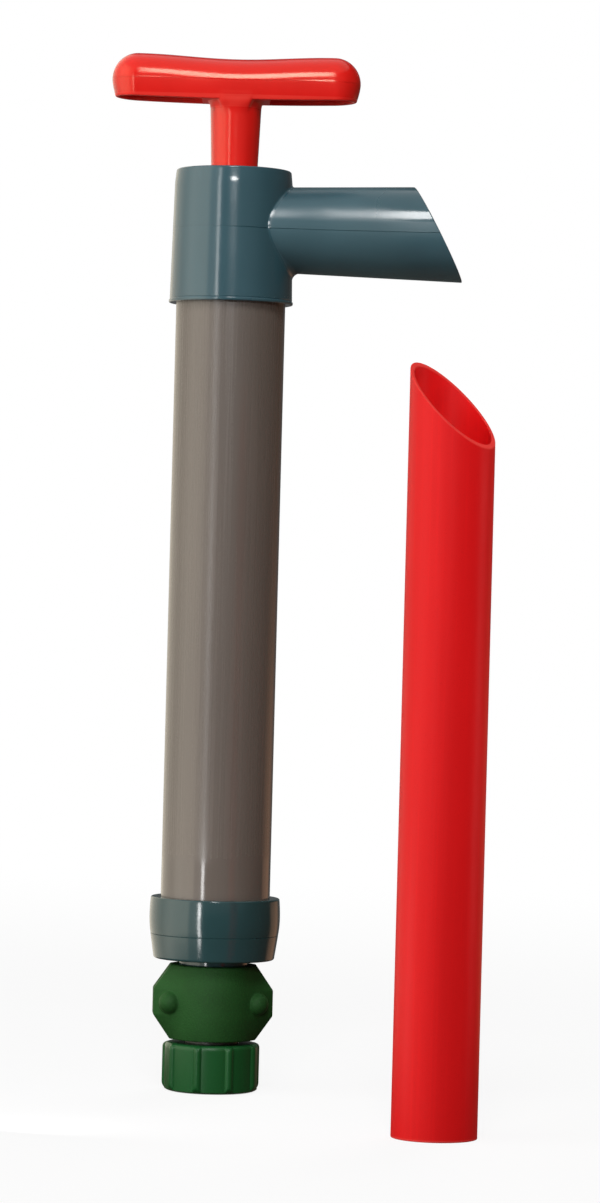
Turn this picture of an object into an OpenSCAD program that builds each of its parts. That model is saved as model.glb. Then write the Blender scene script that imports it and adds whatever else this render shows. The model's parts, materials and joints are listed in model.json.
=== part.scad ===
// Hand pump for moving fuel: a barrel with a foot valve, a plunger with a T-handle,
// a side spout, a swivel hose coupling and a loose spout extension tube.
// Millimetres. The pump stands on the mouth of its hose nut, at z = 0, on the Z axis.

/* [Barrel] */
// Outside diameter of the barrel tube
barrel_od = 42.2; // [38:0.1:48]
// Wall of the barrel tube
barrel_wall = 3.6; // [2.6:0.1:4.4]
// Length of barrel that shows between the cap and the head
barrel_show = 229.6; // [120:0.1:400]

/* [Fits] */
// Gap between pieces that are pushed or cemented together
seat_gap = 0.05; // [0.02:0.01:0.08]
// Running gap of the rod in its bush and of the piston on its screw
run_gap = 0.07; // [0.03:0.01:0.09]
// Gap around pieces that move freely
free_gap = 0.3; // [0.2:0.05:0.5]
// Gap between a moving piece and the stop that it rests on
rest_gap = 0.1; // [0.05:0.05:0.3]

/* [Hose nut] */
// Height of the hose nut
nut_h = 18.6; // [15:0.1:26]
// Inside diameter of the hose thread
thread_d = 26.8; // [24:0.1:30]
// Depth of the hose thread
thread_depth = 8.4; // [6:0.1:10]
// Wall of the nut outside the thread
nut_wall = 4.6; // [3.5:0.1:7]
// Number of grip ribs
rib_count = 9; // [6:1:16]
// Radius of a grip rib
rib_r = 1.1; // [0.8:0.1:1.6]
// Turn of the ribs about the nut's axis
rib_turn = 14; // [0:1:40]
// Round of the nut's lower edge
nut_edge = 2.2; // [1:0.1:3]
// Chamfer of the nut's upper edge
nut_top_edge = 1; // [0.4:0.1:2]

/* [Hose coupling] */
// Thickness of the hose washer
washer_h = 3.2; // [2:0.1:4]
// Step between the thread and the pocket for the washer and the flange
pocket_step = 0.4; // [0.2:0.1:0.8]
// Thickness of the coupling flange
flange_t = 2.6; // [2:0.1:4]
// Bore of the coupling stem
stem_bore = 15.2; // [12:0.1:16.5]
// Length of the barbed shank in the spigot
barb_len = 25; // [18:1:28]
// Number of barbs
barb_count = 4; // [3:1:6]
// Depth of a barb
barb_depth = 0.8; // [0.4:0.1:1.2]

/* [Hose clamp] */
// Height of the clamp
clamp_h = 28.8; // [26:0.1:36]
// Gap between the nut and the clamp
nut_clamp_gap = 1.4; // [0.6:0.1:3]
// Gap between the clamp and the bottom cap
clamp_cap_gap = 2.2; // [1:0.1:5]
// Wall of the clamp at its belly
clamp_wall = 5; // [4:0.1:7]
// Radius that the belly loses at the clamp's ends
clamp_belly = 1.9; // [1:0.1:2.5]
// Half of the split between the two halves
clamp_split = 0.5; // [0.3:0.1:1]
// Thickness of the clamp's ears
ear_t = 5.5; // [4:0.1:8]
// Height of the straight edge of the ears
ear_flat = 10; // [8:0.5:14]
// Distance from the spigot's wall to a clamp screw
screw_offset = 4.25; // [4:0.05:7]
// Radius of a screw boss
boss_r = 4.25; // [3.6:0.05:5]
// Height of the domed bosses above the ears
boss_h = 7.5; // [5:0.1:9]
// Height of the flat bosses on the rear half
rear_boss_h = 2; // [1:0.1:4]
// Radius of the clamp screws
clamp_screw_r = 1.5; // [1.2:0.1:2]
// Turn of the clamp about the pump's axis
clamp_turn = 4; // [-45:1:45]

/* [Bottom cap] */
// Height of the cap
cap_h = 23.8; // [20:0.1:36]
// Wall of the cap outside the barrel
cap_wall = 4.15; // [3:0.05:6]
// Radius that the cap loses towards its lower edge
cap_taper = 1.9; // [0.5:0.1:3]
// Thickness of the cap's floor
cap_floor = 4; // [3:0.1:6]
// Height of the cap's parting line
cap_line = 9.5; // [7:0.1:14]
// Outside diameter of the hose spigot
spigot_od = 26.7; // [25.5:0.1:32]
// Bore of the hose spigot
spigot_bore = 20.9; // [19.5:0.1:22]
// Gap between the spigot's end and the clamp's lower lip
spigot_gap = 0.5; // [0.3:0.1:1]

/* [Foot valve] */
// Thickness of the valve seat
seat_t = 3.5; // [2.5:0.1:5]
// Number of ports in the seat
seat_ports = 6; // [4:1:8]
// Radius of a port in the seat
seat_port_r = 2.4; // [1.5:0.1:2.8]
// Thickness of the rubber disc
disc_t = 2.2; // [1.5:0.1:4]
// How far the disc covers the seat outside the ports
disc_lap = 2; // [1:0.1:3]
// Lift of the disc
disc_lift = 3; // [2:0.1:5]
// Radius of the guide pin
pin_r = 2; // [1.5:0.1:2.5]
// Thickness of the guide pin's head
pin_head_t = 2; // [1.5:0.1:3]

/* [Piston] */
// Free height between the guide pin and the piston screw
foot_room = 2; // [1.5:0.1:10]
// Radius of the piston screw
piston_screw_r = 2.5; // [2:0.1:3]
// Thickness of the piston screw's head
piston_head_t = 3; // [2:0.1:5]
// Length of the piston screw above its head
piston_screw_len = 38; // [30:0.5:44]
// Thickness of the piston washer
piston_washer_t = 1.4; // [1:0.1:3]
// Height of the piston
piston_h = 12; // [10:0.1:24]
// Number of ports in the piston
piston_ports = 6; // [4:1:8]
// Radius of a port in the piston
piston_port_r = 2.4; // [1.5:0.1:2.6]
// Height of the groove for the cup seal
groove_h = 5; // [4:0.1:7]
// Depth of the groove for the cup seal
groove_d = 3; // [2:0.1:4]
// Thickness of the piston's valve flap
flap_t = 1.8; // [1.2:0.1:3]
// Lift of the valve flap
flap_lift = 2.2; // [1.5:0.1:4]

/* [Plunger rod] */
// Outside diameter of the rod
rod_od = 15.9; // [14:0.1:18]
// Wall of the rod
rod_wall = 1.8; // [1.4:0.1:2.6]
// Thickness of the end plug's flange
plug_flange_t = 3; // [2:0.1:5]
// Length of the end plug inside the rod
plug_len = 24; // [16:0.5:40]
// Radius of the nose that carries the piston
nose_r = 4.2; // [3.8:0.1:5]

/* [Pump head] */
// Height of the head
head_h = 51.6; // [49:0.1:70]
// Wall of the head outside the barrel
head_wall = 2.3; // [2:0.1:5]
// Radius that the head loses towards its top
head_taper = 0.85; // [0.3:0.05:1.5]
// Depth of the socket for the barrel
head_socket = 11.6; // [8:0.1:12]
// Step that stops the barrel and the piston in the head
head_step = 0.8; // [0.5:0.1:1.5]
// Thickness of the head's roof
head_roof = 7.5; // [7:0.1:10]
// Height of the domed band under the top rim
crown_h = 7; // [4:0.1:10]
// Radius that the crown draws in
crown_in = 0.55; // [0.2:0.05:1]
// Height of the bead round the lower edge
bead_h = 1.2; // [0.8:0.1:3]
// How far the bead stands out
bead_out = 0.3; // [0.1:0.05:0.8]
// Depth of the recess that takes the stem's end
recess_h = 4; // [2.5:0.1:5]
// Wall of the rod guide bush
bush_wall = 2.5; // [2:0.1:3.5]
// Length of the rod guide bush
bush_len = 12; // [8:0.5:16]
// Thickness of the rod wiper seal
wiper_t = 3.4; // [2:0.1:5]
// Thickness of the seal retainer
retainer_t = 1.6; // [1:0.1:3]
// Wall of the hub around the bush
hub_wall = 2; // [1.5:0.1:2.5]
// Depth of the parting lines
line_depth = 0.2; // [0.1:0.05:0.3]

/* [Spout] */
// Height of the spout's axis above the head's lower edge
spout_rise = 29.1; // [26.8:0.1:29.4]
// Outside diameter of the spout, taken at the pump's axis
spout_od = 32; // [32:0.1:36]
// Draft of the spout's outside
spout_draft = 1.6; // [0.8:0.1:2]
// Reach of the spout along its axis
spout_reach = 79.5; // [70:0.1:120]
// Slant of the spout's mouth from square
spout_cut = 28; // [0:1:40]
// Bore of the spout behind its socket
spout_bore = 29.2; // [26:0.1:29.5]
// Depth of the socket for the tube, on the spout's axis
tube_socket = 24; // [15:0.5:34]

/* [Extension tube] */
// Outside diameter of the tube
tube_od = 31; // [29.6:0.1:31.4]
// Wall of the tube
tube_wall = 1.5; // [1:0.1:2.5]
// Length of the tube on its longest side
tube_len = 277; // [120:1:400]
// Slant of the tube's end from square
tube_cut = 45; // [0:1:60]
// Direction in which the slanted end faces
tube_turn = -35; // [-180:1:180]
// Distance of the standing tube from the pump, to the right
tube_x = 82.5; // [75:0.5:160]
// Distance of the standing tube from the pump, to the back
tube_y = -131; // [-200:1:-60]

/* [Handle] */
// Length of the bar
bar_len = 96.2; // [80:0.2:140]
// Depth of the bar at its middle
bar_depth = 22.4; // [22:0.2:34]
// Depth that the sides run to at the ends, before these round off
bar_tip = 20.4; // [14:0.2:24]
// Height of the bar at its two humps
bar_h = 17; // [14:0.1:20]
// Dip in the top of the bar
bar_dip = 1.5; // [0:0.1:3]
// Height of the crease above the bar's underside
crease_h = 6.8; // [5:0.1:9]
// How far the underside hangs lower at the middle
bar_sag = 0.9; // [0:0.1:2]
// Distance over which the ends round off
end_round = 10; // [6:0.5:14]
// Wall around the pockets in the underside
pocket_wall = 2.6; // [2:0.1:4]
// Depth of the pockets in the underside
pocket_depth = 8.5; // [4:0.1:9]
// Height of the stem between the head and the bar
stem_show = 27.6; // [20:0.2:60]
// How far the stem's end stands out past the rod
stem_lip = 0.9; // [0.6:0.1:2]
// Radius that the stem gains up to the bar
stem_taper = 1.15; // [0:0.05:2]
// Fillet between the stem and the bar
stem_fillet = 2.2; // [1:0.1:2.6]
// Length of the tail that goes into the rod
tail_len = 26; // [18:0.5:40]
// Distance of the cross pin below the stem's end
cross_pin_drop = 8; // [5:0.5:14]
// Radius of the cross pin
cross_pin_r = 1.5; // [1:0.1:2]

/* [Hidden] */
$fn = 96;

// Colours
head_blue = [0.36, 0.44, 0.47];
cap_blue = [0.30, 0.37, 0.38];
barrel_grey = [0.50, 0.46, 0.42];
clamp_green = [0.14, 0.32, 0.14];
nut_green = [0.12, 0.36, 0.17];
handle_red = [0.82, 0.12, 0.12];
tube_red = [0.76, 0.13, 0.14];
rubber_black = [0.10, 0.10, 0.10];
acetal_white = [0.88, 0.87, 0.83];
steel_grey = [0.68, 0.69, 0.70];

// A cut runs past the face that it opens
past = 1;
// Pieces of one solid run into each other by this much
bite = 0.2;
// Half height of a parting line
line_half = 0.15;
// Size of a cutting block
block = 400;

// Radii
barrel_r = barrel_od / 2;
bore_r = barrel_r - barrel_wall;
socket_r = barrel_r + seat_gap;
spigot_r = spigot_od / 2;
intake_r = spigot_bore / 2;
thread_r = thread_d / 2;
pocket_r = thread_r - pocket_step;
nut_r = thread_r + nut_wall;
flange_r = pocket_r - free_gap;
neck_r = intake_r - 2 * free_gap / 3;
rod_r = rod_od / 2;
rod_bore_r = rod_r - rod_wall;
plug_r = rod_bore_r - seat_gap;
bush_r = rod_r + bush_wall;
hub_hole_r = bush_r + seat_gap;
hub_r = hub_hole_r + hub_wall;
stem_low_r = rod_r + stem_lip;
recess_r = stem_low_r + 2 * free_gap;
chamber_r = bore_r - head_step;
tube_r = tube_od / 2;
tube_socket_r = tube_r + run_gap + seat_gap;

// Heights, from the mouth of the nut upwards
clamp_z0 = nut_h + nut_clamp_gap;
clamp_zm = clamp_z0 + clamp_h / 2;
clamp_z1 = clamp_z0 + clamp_h;
cap_z0 = clamp_z1 + clamp_cap_gap;
cap_z1 = cap_z0 + cap_h;
seat_z0 = cap_z0 + cap_floor;
barrel_z0 = seat_z0 + seat_t;
head_z0 = cap_z1 + barrel_show;
barrel_z1 = head_z0 + head_socket;
head_z1 = head_z0 + head_h;
roof_z0 = head_z1 - head_roof;
spout_z = head_z0 + spout_rise;
bush_z1 = head_z1 - recess_h;
bush_z0 = bush_z1 - bush_len;
wiper_z0 = bush_z0 - wiper_t;
retainer_z0 = wiper_z0 - retainer_t;

// Hose coupling
lip_t = 2.2;
washer_z0 = thread_depth + rest_gap;
flange_z0 = washer_z0 + washer_h + rest_gap;
flange_z1 = flange_z0 + flange_t;
lip_z0 = flange_z1 + rest_gap;
nut_top = max(nut_h, lip_z0 + lip_t);
clamp_lip_t = 1.8;
clamp_lip_z1 = clamp_z0 + clamp_lip_t;
spigot_z0 = clamp_lip_z1 + spigot_gap;
barb_pitch = barb_len / barb_count;
washer_hole_r = stem_bore / 2 + pocket_step;

// Hose clamp
clamp_bore_r = spigot_r + 2 * seat_gap;
clamp_r = clamp_bore_r + clamp_wall;
clamp_end_r = clamp_r - clamp_belly;
belly_r = (pow(clamp_h / 2, 2) + pow(clamp_belly, 2)) / (2 * clamp_belly);
screw_x = spigot_r + screw_offset;
ear_edge = 1.25;
ear_x = screw_x + boss_r + ear_edge;
ear_y = clamp_split + ear_t;
dome_rise = 1.15;
dome_r = boss_r * dome_rise;
dome_h = dome_r - sqrt(dome_r * dome_r - boss_r * boss_r);
screw_head_in = 0.85;
screw_head_r = boss_r - screw_head_in;
screw_head_t = 2.2;
slot_w = 0.9;
slot_d = 1.1;
pan_side = 0.6;
pan_top = 0.8;

// Foot valve
port_ring_r = intake_r - seat_port_r - 2 * free_gap;
disc_r = port_ring_r + seat_port_r + disc_lap;
disc_z0 = barrel_z0 + rest_gap;
disc_z1 = disc_z0 + disc_t;
pin_head_lap = 3;
pin_collar_lap = 1.2;
pin_head_r = pin_r + pin_head_lap;
pin_collar_r = pin_r + pin_collar_lap;
pin_head_z0 = disc_z1 + disc_lift + rest_gap;
pin_head_z1 = pin_head_z0 + pin_head_t;

// Piston
piston_r = bore_r - free_gap;
screw_z0 = pin_head_z1 + foot_room;
screw_z1 = screw_z0 + piston_head_t;
piston_head_r = piston_screw_r * 2;
piston_washer_lap = 1;
piston_washer_r = piston_head_r + piston_washer_lap;
piston_z0 = screw_z1 + piston_washer_t + rest_gap;
piston_z1 = piston_z0 + piston_h;
piston_ring_r = piston_washer_r + piston_port_r + 2 * free_gap;
flap_r = piston_ring_r + piston_port_r + disc_lap;
flap_z0 = piston_z1 + rest_gap;
flap_z1 = flap_z0 + flap_t;
groove_z0 = piston_z0 + (piston_h - groove_h) / 2;
groove_r = piston_r - groove_d;

// Plunger
nose_z0 = piston_z1 + rest_gap;
plug_z0 = flap_z1 + flap_lift + rest_gap;
rod_z0 = plug_z0 + plug_flange_t;
stem_z0 = bush_z1 + free_gap;
stem_z1 = head_z1 + stem_show;
stem_top_r = stem_low_r + stem_taper;
cross_pin_z = stem_z0 - cross_pin_drop;

// Handle bar
bar_half = bar_len / 2;
bar_z0 = stem_z1;
bar_steps = 28;
dome_steps = 12;
end_angle = 80;
end_flat = 0.95;
bar_draft = 0.9;
bar_low_half = bar_depth / 2 - bar_draft;
hump_x = bar_half - end_round;
pocket_land = 1;
pocket_in = stem_top_r + stem_fillet + pocket_land;
pocket_tip = 0.5;

// Head outline
head_r0 = barrel_r + head_wall;
head_r1 = head_r0 - head_taper;
crown_z = head_z1 - crown_h;
rim_cut = 0.8;
crown_steps = 5;

// Solid ring between two radii and two heights
module ring(r_out, r_in, z0, z1) {
    translate([0, 0, z0]) difference() {
        cylinder(h = z1 - z0, r = r_out);
        translate([0, 0, -past]) cylinder(h = z1 - z0 + 2 * past, r = r_in);
    }
}

// Plain round bar between two heights
module rod(r, z0, z1) {
    translate([0, 0, z0]) cylinder(h = z1 - z0, r = r);
}

// Ring of round ports, cut along Z
module ports(count, ring_r, r, z0, z1) {
    for (i = [0 : count - 1])
        rotate([0, 0, i * 360 / count]) translate([ring_r, 0, 0]) rod(r, z0, z1);
}

// Pan head with a screwdriver slot, standing on z = 0
module pan_head(r, t) {
    difference() {
        union() {
            cylinder(h = t * pan_side, r = r);
            translate([0, 0, t * pan_side]) cylinder(h = t * (1 - pan_side), r1 = r, r2 = r * pan_top);
        }
        translate([-r - past, -slot_w / 2, t - slot_d]) cube([2 * (r + past), slot_w, slot_d + past]);
    }
}

module barrel_tube() {
    color(barrel_grey) ring(barrel_r, bore_r, barrel_z0, barrel_z1);
}

// Outside of the head, drawn in by some amount; the crown's points follow a parabola
module head_outside(inset) {
    low_r = head_r0 - inset;
    top_r = head_r1 - inset;
    crown = [
        for (i = [0 : crown_steps])
            [top_r - crown_in * pow(i / crown_steps, 2), crown_z + (crown_h - rim_cut) * i / crown_steps]
    ];
    rotate_extrude() polygon(concat(
        [
            [0, head_z0],
            [low_r + bead_out, head_z0],
            [low_r + bead_out, head_z0 + bead_h - bead_out],
            [low_r, head_z0 + bead_h]
        ],
        crown,
        [[top_r - crown_in - rim_cut, head_z1], [0, head_z1]]
    ));
    difference() {
        translate([0, 0, spout_z]) rotate([0, 90, 0])
            cylinder(
                h = 2 * spout_reach,
                r1 = spout_od / 2 - inset,
                r2 = spout_od / 2 - inset + 2 * spout_reach * tan(spout_draft)
            );
        translate([spout_reach, 0, spout_z]) rotate([0, -spout_cut, 0])
            translate([0, -block / 2, -block / 2]) cube(block);
    }
}

module pump_head() {
    color(head_blue) difference() {
        union() {
            difference() {
                head_outside(0);
                difference() {
                    translate([-block / 2, -block / 2, spout_z - line_half])
                        cube([block, block, 2 * line_half]);
                    head_outside(line_depth);
                }
                rod(socket_r, head_z0 - past, barrel_z1);
                rod(chamber_r, barrel_z1 - bite, roof_z0);
                translate([0, 0, spout_z]) rotate([0, 90, 0]) rod(spout_bore / 2, 0, spout_reach);
                translate([0, 0, spout_z]) rotate([0, 90, 0])
                    rod(tube_socket_r, spout_reach - tube_socket, 2 * spout_reach);
            }
            rod(hub_r, retainer_z0, roof_z0 + bite);
        }
        rod(hub_hole_r, retainer_z0 - past, bush_z1);
        rod(recess_r, bush_z1 - bite, head_z1 + past);
    }
}

module rod_guide_bush() {
    color(acetal_white) ring(bush_r, rod_r + run_gap, bush_z0, bush_z1);
}

module rod_wiper_seal() {
    color(rubber_black) ring(bush_r, rod_r + run_gap, wiper_z0, bush_z0);
}

module seal_retainer() {
    color(steel_grey) ring(bush_r, rod_r + free_gap, retainer_z0, wiper_z0);
}

module bottom_cap() {
    cap_r = barrel_r + cap_wall;
    belly_in = 0.55;
    edge = 1;
    color(cap_blue) difference() {
        union() {
            rotate_extrude() polygon([
                [0, cap_z0],
                [cap_r - cap_taper - edge, cap_z0],
                [cap_r - cap_taper, cap_z0 + edge],
                [cap_r - belly_in, cap_z0 + cap_line],
                [cap_r, (cap_z0 + cap_line + cap_z1) / 2],
                [cap_r - belly_in / 2, cap_z1 - edge / 2],
                [cap_r - belly_in / 2 - edge / 2, cap_z1],
                [0, cap_z1]
            ]);
            rod(spigot_r, spigot_z0, cap_z0 + bite);
        }
        translate([0, 0, cap_z0 + cap_line])
            ring(cap_r + past, cap_r - belly_in - line_depth, -line_half, line_half);
        rod(socket_r, seat_z0, cap_z1 + past);
        rod(intake_r, spigot_z0 - past, seat_z0 + past);
    }
}

module foot_valve_seat() {
    color(acetal_white) difference() {
        rod(barrel_r, seat_z0, barrel_z0);
        ports(seat_ports, port_ring_r, seat_port_r, seat_z0 - past, barrel_z0 + past);
        rod(pin_r + seat_gap, seat_z0 - past, barrel_z0 + past);
    }
}

module foot_valve_pin() {
    color(acetal_white) {
        rod(pin_collar_r, seat_z0 - pin_head_t, seat_z0);
        rod(pin_r, seat_z0 - bite, pin_head_z0 + bite);
        rod(pin_head_r, pin_head_z0, pin_head_z1);
    }
}

module foot_valve_disc() {
    color(rubber_black) ring(disc_r, pin_r + free_gap, disc_z0, disc_z1);
}

module coupling_stem() {
    barb_z0 = spigot_z0 + past;
    color(acetal_white) difference() {
        union() {
            rod(flange_r, flange_z0, flange_z1);
            rod(neck_r, flange_z1 - bite, barb_z0 + bite);
            rod(intake_r - barb_depth, barb_z0, barb_z0 + barb_len);
            for (i = [0 : barb_count - 1])
                translate([0, 0, barb_z0 + i * barb_pitch])
                    cylinder(h = barb_pitch, r1 = intake_r - seat_gap, r2 = intake_r - barb_depth - bite);
        }
        rod(stem_bore / 2, flange_z0 - past, barb_z0 + barb_len + past);
    }
}

// Block of one clamp half, on the side of +Y, before its holes are drilled
module clamp_block() {
    intersection() {
        union() {
            rotate_extrude() intersection() {
                translate([clamp_r - belly_r, clamp_zm]) circle(r = belly_r, $fn = 360);
                translate([0, clamp_z0]) square([clamp_r, clamp_h]);
            }
            translate([-ear_x, -ear_y, clamp_z0]) cube([2 * ear_x, 2 * ear_y, clamp_h]);
        }
        translate([0, ear_x + clamp_split, 0]) rotate([90, 0, 0]) linear_extrude(ear_x) polygon([
            [-clamp_end_r, clamp_z0],
            [clamp_end_r, clamp_z0],
            [ear_x, clamp_zm - ear_flat / 2],
            [ear_x, clamp_zm + ear_flat / 2],
            [clamp_end_r, clamp_z1],
            [-clamp_end_r, clamp_z1],
            [-ear_x, clamp_zm + ear_flat / 2],
            [-ear_x, clamp_zm - ear_flat / 2]
        ]);
    }
}

// Places its children at both clamp screws, with +Z pointing to +Y
module at_screws(y) {
    for (side = [-1, 1])
        translate([side * screw_x, y, clamp_zm]) rotate([-90, 0, 0]) children();
}

module clamp_bores() {
    rod(clamp_bore_r, clamp_lip_z1, clamp_z1 + past);
    rod(neck_r + free_gap, clamp_z0 - past, clamp_z1);
}

// Screw boss with a domed end, standing on z = 0; the dome's points follow a circle
module domed_boss() {
    steps = 6;
    lean = asin(boss_r / dome_r);
    rotate_extrude() polygon(concat(
        [[0, -bite], [boss_r, -bite]],
        [
            for (i = [0 : steps])
                let (t = lean * (1 - i / steps))
                [dome_r * sin(t), boss_h - dome_r + dome_r * cos(t)]
        ]
    ));
}

module clamp_half_front() {
    hole = ear_y + boss_h - dome_h - past;
    color(clamp_green) rotate([0, 0, clamp_turn + 180]) difference() {
        union() {
            clamp_block();
            at_screws(ear_y) domed_boss();
        }
        clamp_bores();
        at_screws(-past) cylinder(h = hole + past, r = clamp_screw_r + seat_gap);
    }
}

module clamp_half_rear() {
    color(clamp_green) rotate([0, 0, clamp_turn]) difference() {
        union() {
            clamp_block();
            at_screws(ear_y - bite) cylinder(h = rear_boss_h + bite, r = boss_r);
        }
        clamp_bores();
        at_screws(-past) cylinder(h = block, r = clamp_screw_r + free_gap);
        at_screws(ear_y + rear_boss_h) cylinder(h = block, r = screw_head_r + free_gap);
    }
}

module clamp_screws() {
    shank = 2 * ear_y + rear_boss_h + boss_h - dome_h - 2 * past;
    color(steel_grey) rotate([0, 0, clamp_turn]) at_screws(ear_y + rear_boss_h) {
        pan_head(screw_head_r, screw_head_t);
        translate([0, 0, -shank]) cylinder(h = shank + bite, r = clamp_screw_r);
    }
}

module coupling_nut() {
    out_r = nut_r + rib_r;
    edge = nut_edge + rib_r;
    top_cut = nut_top_edge + rib_r;
    color(nut_green) difference() {
        intersection() {
            translate([0, 0, -past]) linear_extrude(nut_top + 2 * past) {
                circle(r = nut_r);
                for (i = [0 : rib_count - 1])
                    rotate(rib_turn + i * 360 / rib_count) translate([nut_r, 0]) circle(r = rib_r);
            }
            rotate_extrude() difference() {
                polygon([
                    [0, 0],
                    [out_r, 0],
                    [out_r, nut_top - top_cut],
                    [out_r - top_cut, nut_top],
                    [0, nut_top]
                ]);
                translate([out_r - edge, edge]) difference() {
                    translate([0, -edge - past]) square(edge + past);
                    circle(r = edge);
                }
            }
        }
        rod(thread_r, -past, thread_depth);
        rod(pocket_r, thread_depth - bite, lip_z0);
        rod(neck_r + free_gap, lip_z0 - bite, nut_top + past);
    }
}

module hose_washer() {
    color(rubber_black) ring(flange_r, washer_hole_r, washer_z0, washer_z0 + washer_h);
}

module piston_body() {
    color(acetal_white) difference() {
        rod(piston_r, piston_z0, piston_z1);
        ring(piston_r + past, groove_r, groove_z0, groove_z0 + groove_h);
        ports(piston_ports, piston_ring_r, piston_port_r, piston_z0 - past, piston_z1 + past);
        rod(piston_screw_r + run_gap, piston_z0 - past, piston_z1 + past);
    }
}

// Cup seal with its lips open to the upper side
module piston_cup_seal() {
    in_r = groove_r + seat_gap;
    out_r = bore_r - run_gap;
    mid_r = (in_r + out_r) / 2;
    lip = (out_r - in_r) / 4;
    z0 = groove_z0 + seat_gap;
    z1 = groove_z0 + groove_h - seat_gap;
    color(rubber_black) rotate_extrude() polygon([
        [in_r, z0],
        [out_r, z0],
        [out_r, z1],
        [out_r - lip, z1],
        [mid_r, (z0 + z1) / 2],
        [in_r + lip, z1],
        [in_r, z1]
    ]);
}

module piston_valve_flap() {
    color(rubber_black) ring(flap_r, nose_r + free_gap, flap_z0, flap_z1);
}

module plunger_rod() {
    color(barrel_grey) difference() {
        ring(rod_r, rod_bore_r, rod_z0, stem_z0);
        translate([-rod_r - past, 0, cross_pin_z]) rotate([0, 90, 0])
            cylinder(h = 2 * (rod_r + past), r = cross_pin_r + seat_gap);
    }
}

module rod_end_plug() {
    color(acetal_white) difference() {
        union() {
            rod(nose_r, nose_z0, plug_z0 + bite);
            rod(rod_r, plug_z0, rod_z0);
            rod(plug_r, rod_z0 - bite, rod_z0 + plug_len);
        }
        rod(piston_screw_r + seat_gap, nose_z0 - past, rod_z0 + plug_len + past);
    }
}

module piston_washer() {
    color(steel_grey) ring(piston_washer_r, piston_screw_r + seat_gap, screw_z1, screw_z1 + piston_washer_t);
}

module piston_screw() {
    color(steel_grey) {
        translate([0, 0, screw_z1]) mirror([0, 0, 1]) pan_head(piston_head_r, piston_head_t);
        rod(piston_screw_r, screw_z1 - bite, screw_z1 + piston_screw_len);
    }
}

// How far the end of the bar has rounded off at x, from 0 to 1
function end_share(x) = max(0, (abs(x) - hump_x) / end_round);
function end_factor(x) = sqrt(1 - end_flat * pow(end_share(x), 2));
// Half depth of the bar at x
function bar_side(x) = (bar_depth - (bar_depth - bar_tip) * pow(x / bar_half, 2)) / 2 * end_factor(x);
// Underside, crease and top of the bar at x
function bar_low(x) = bar_z0 - bar_sag * (1 - pow(x / bar_half, 2));
function bar_crease(x) = bar_z0 + crease_h;
function hump_share(x) = (1 + cos(180 * min(1, abs(x) / hump_x))) / 2;
function bar_top(x) =
    bar_crease(x) + (bar_h - crease_h - bar_dip * hump_share(x)) * end_factor(x);
// Outline of the bar's section at x: flat below, a dome above the crease
function bar_section(x) = concat(
    [[x, -bar_side(x) + bar_draft, bar_low(x)], [x, bar_side(x) - bar_draft, bar_low(x)]],
    [
        for (k = [0 : dome_steps])
            let (t = 180 * k / dome_steps)
            [x, bar_side(x) * cos(t), bar_crease(x) + (bar_top(x) - bar_crease(x)) * sin(t)]
    ]
);
function bar_x(i) = bar_half * sin(end_angle * (2 * i / bar_steps - 1)) / sin(end_angle);

module handle_bar() {
    n = dome_steps + 3;
    polyhedron(
        points = [for (i = [0 : bar_steps]) each bar_section(bar_x(i))],
        faces = concat(
            [[for (j = [0 : n - 1]) j]],
            [[for (j = [n - 1 : -1 : 0]) bar_steps * n + j]],
            [
                for (i = [0 : bar_steps - 1], j = [0 : n - 1])
                    let (k = (j + 1) % n)
                    [i * n + j, (i + 1) * n + k, i * n + k]
            ],
            [
                for (i = [0 : bar_steps - 1], j = [0 : n - 1])
                    let (k = (j + 1) % n)
                    [i * n + j, (i + 1) * n + j, (i + 1) * n + k]
            ]
        )
    );
}

// Pocket in the underside of each wing, inside the bar's outline by one wall
module handle_pockets() {
    steps = 10;
    reach = bar_half - pocket_wall;
    xs = [for (i = [0 : steps]) pocket_in + (reach - pocket_in) * sin(90 * i / steps)];
    edge = [for (x = xs) [x, max(pocket_tip, bar_side(min(x + pocket_wall / 2, reach)) - pocket_wall)]];
    for (side = [0, 180])
        rotate([0, 0, side]) translate([0, 0, bar_z0 - bar_sag - past])
            linear_extrude(pocket_depth + past) polygon(concat(
                edge,
                [for (i = [steps : -1 : 0]) [edge[i][0], -edge[i][1]]]
            ));
}

module t_handle() {
    color(handle_red) difference() {
        union() {
            handle_bar();
            translate([0, 0, stem_z0])
                cylinder(h = stem_z1 - stem_z0 + bite, r1 = stem_low_r, r2 = stem_top_r);
            intersection() {
                rotate_extrude() difference() {
                    translate([0, stem_z1 - bar_sag - stem_fillet])
                        square([stem_top_r + stem_fillet, stem_fillet + bar_sag + bite]);
                    translate([stem_top_r + stem_fillet, stem_z1 - bar_sag - stem_fillet])
                        circle(r = stem_fillet);
                }
                translate([-bar_half, -bar_low_half, 0]) cube([bar_len, 2 * bar_low_half, stem_z1 + past]);
            }
            rod(plug_r, stem_z0 - tail_len, stem_z0 + bite);
        }
        handle_pockets();
        translate([-rod_r - past, 0, cross_pin_z]) rotate([0, 90, 0])
            cylinder(h = 2 * (rod_r + past), r = cross_pin_r + seat_gap);
    }
}

module handle_pin() {
    half = rod_r - free_gap;
    color(steel_grey) translate([-half, 0, cross_pin_z]) rotate([0, 90, 0])
        cylinder(h = 2 * half, r = cross_pin_r);
}

module extension_tube() {
    axis_len = tube_len - tube_r * tan(tube_cut);
    color(tube_red) translate([tube_x, tube_y, 0]) rotate([0, 0, tube_turn]) difference() {
        ring(tube_r, tube_r - tube_wall, 0, tube_len);
        translate([0, 0, axis_len]) rotate([0, tube_cut, 0])
            translate([-block / 2, -block / 2, 0]) cube(block);
    }
}

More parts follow.
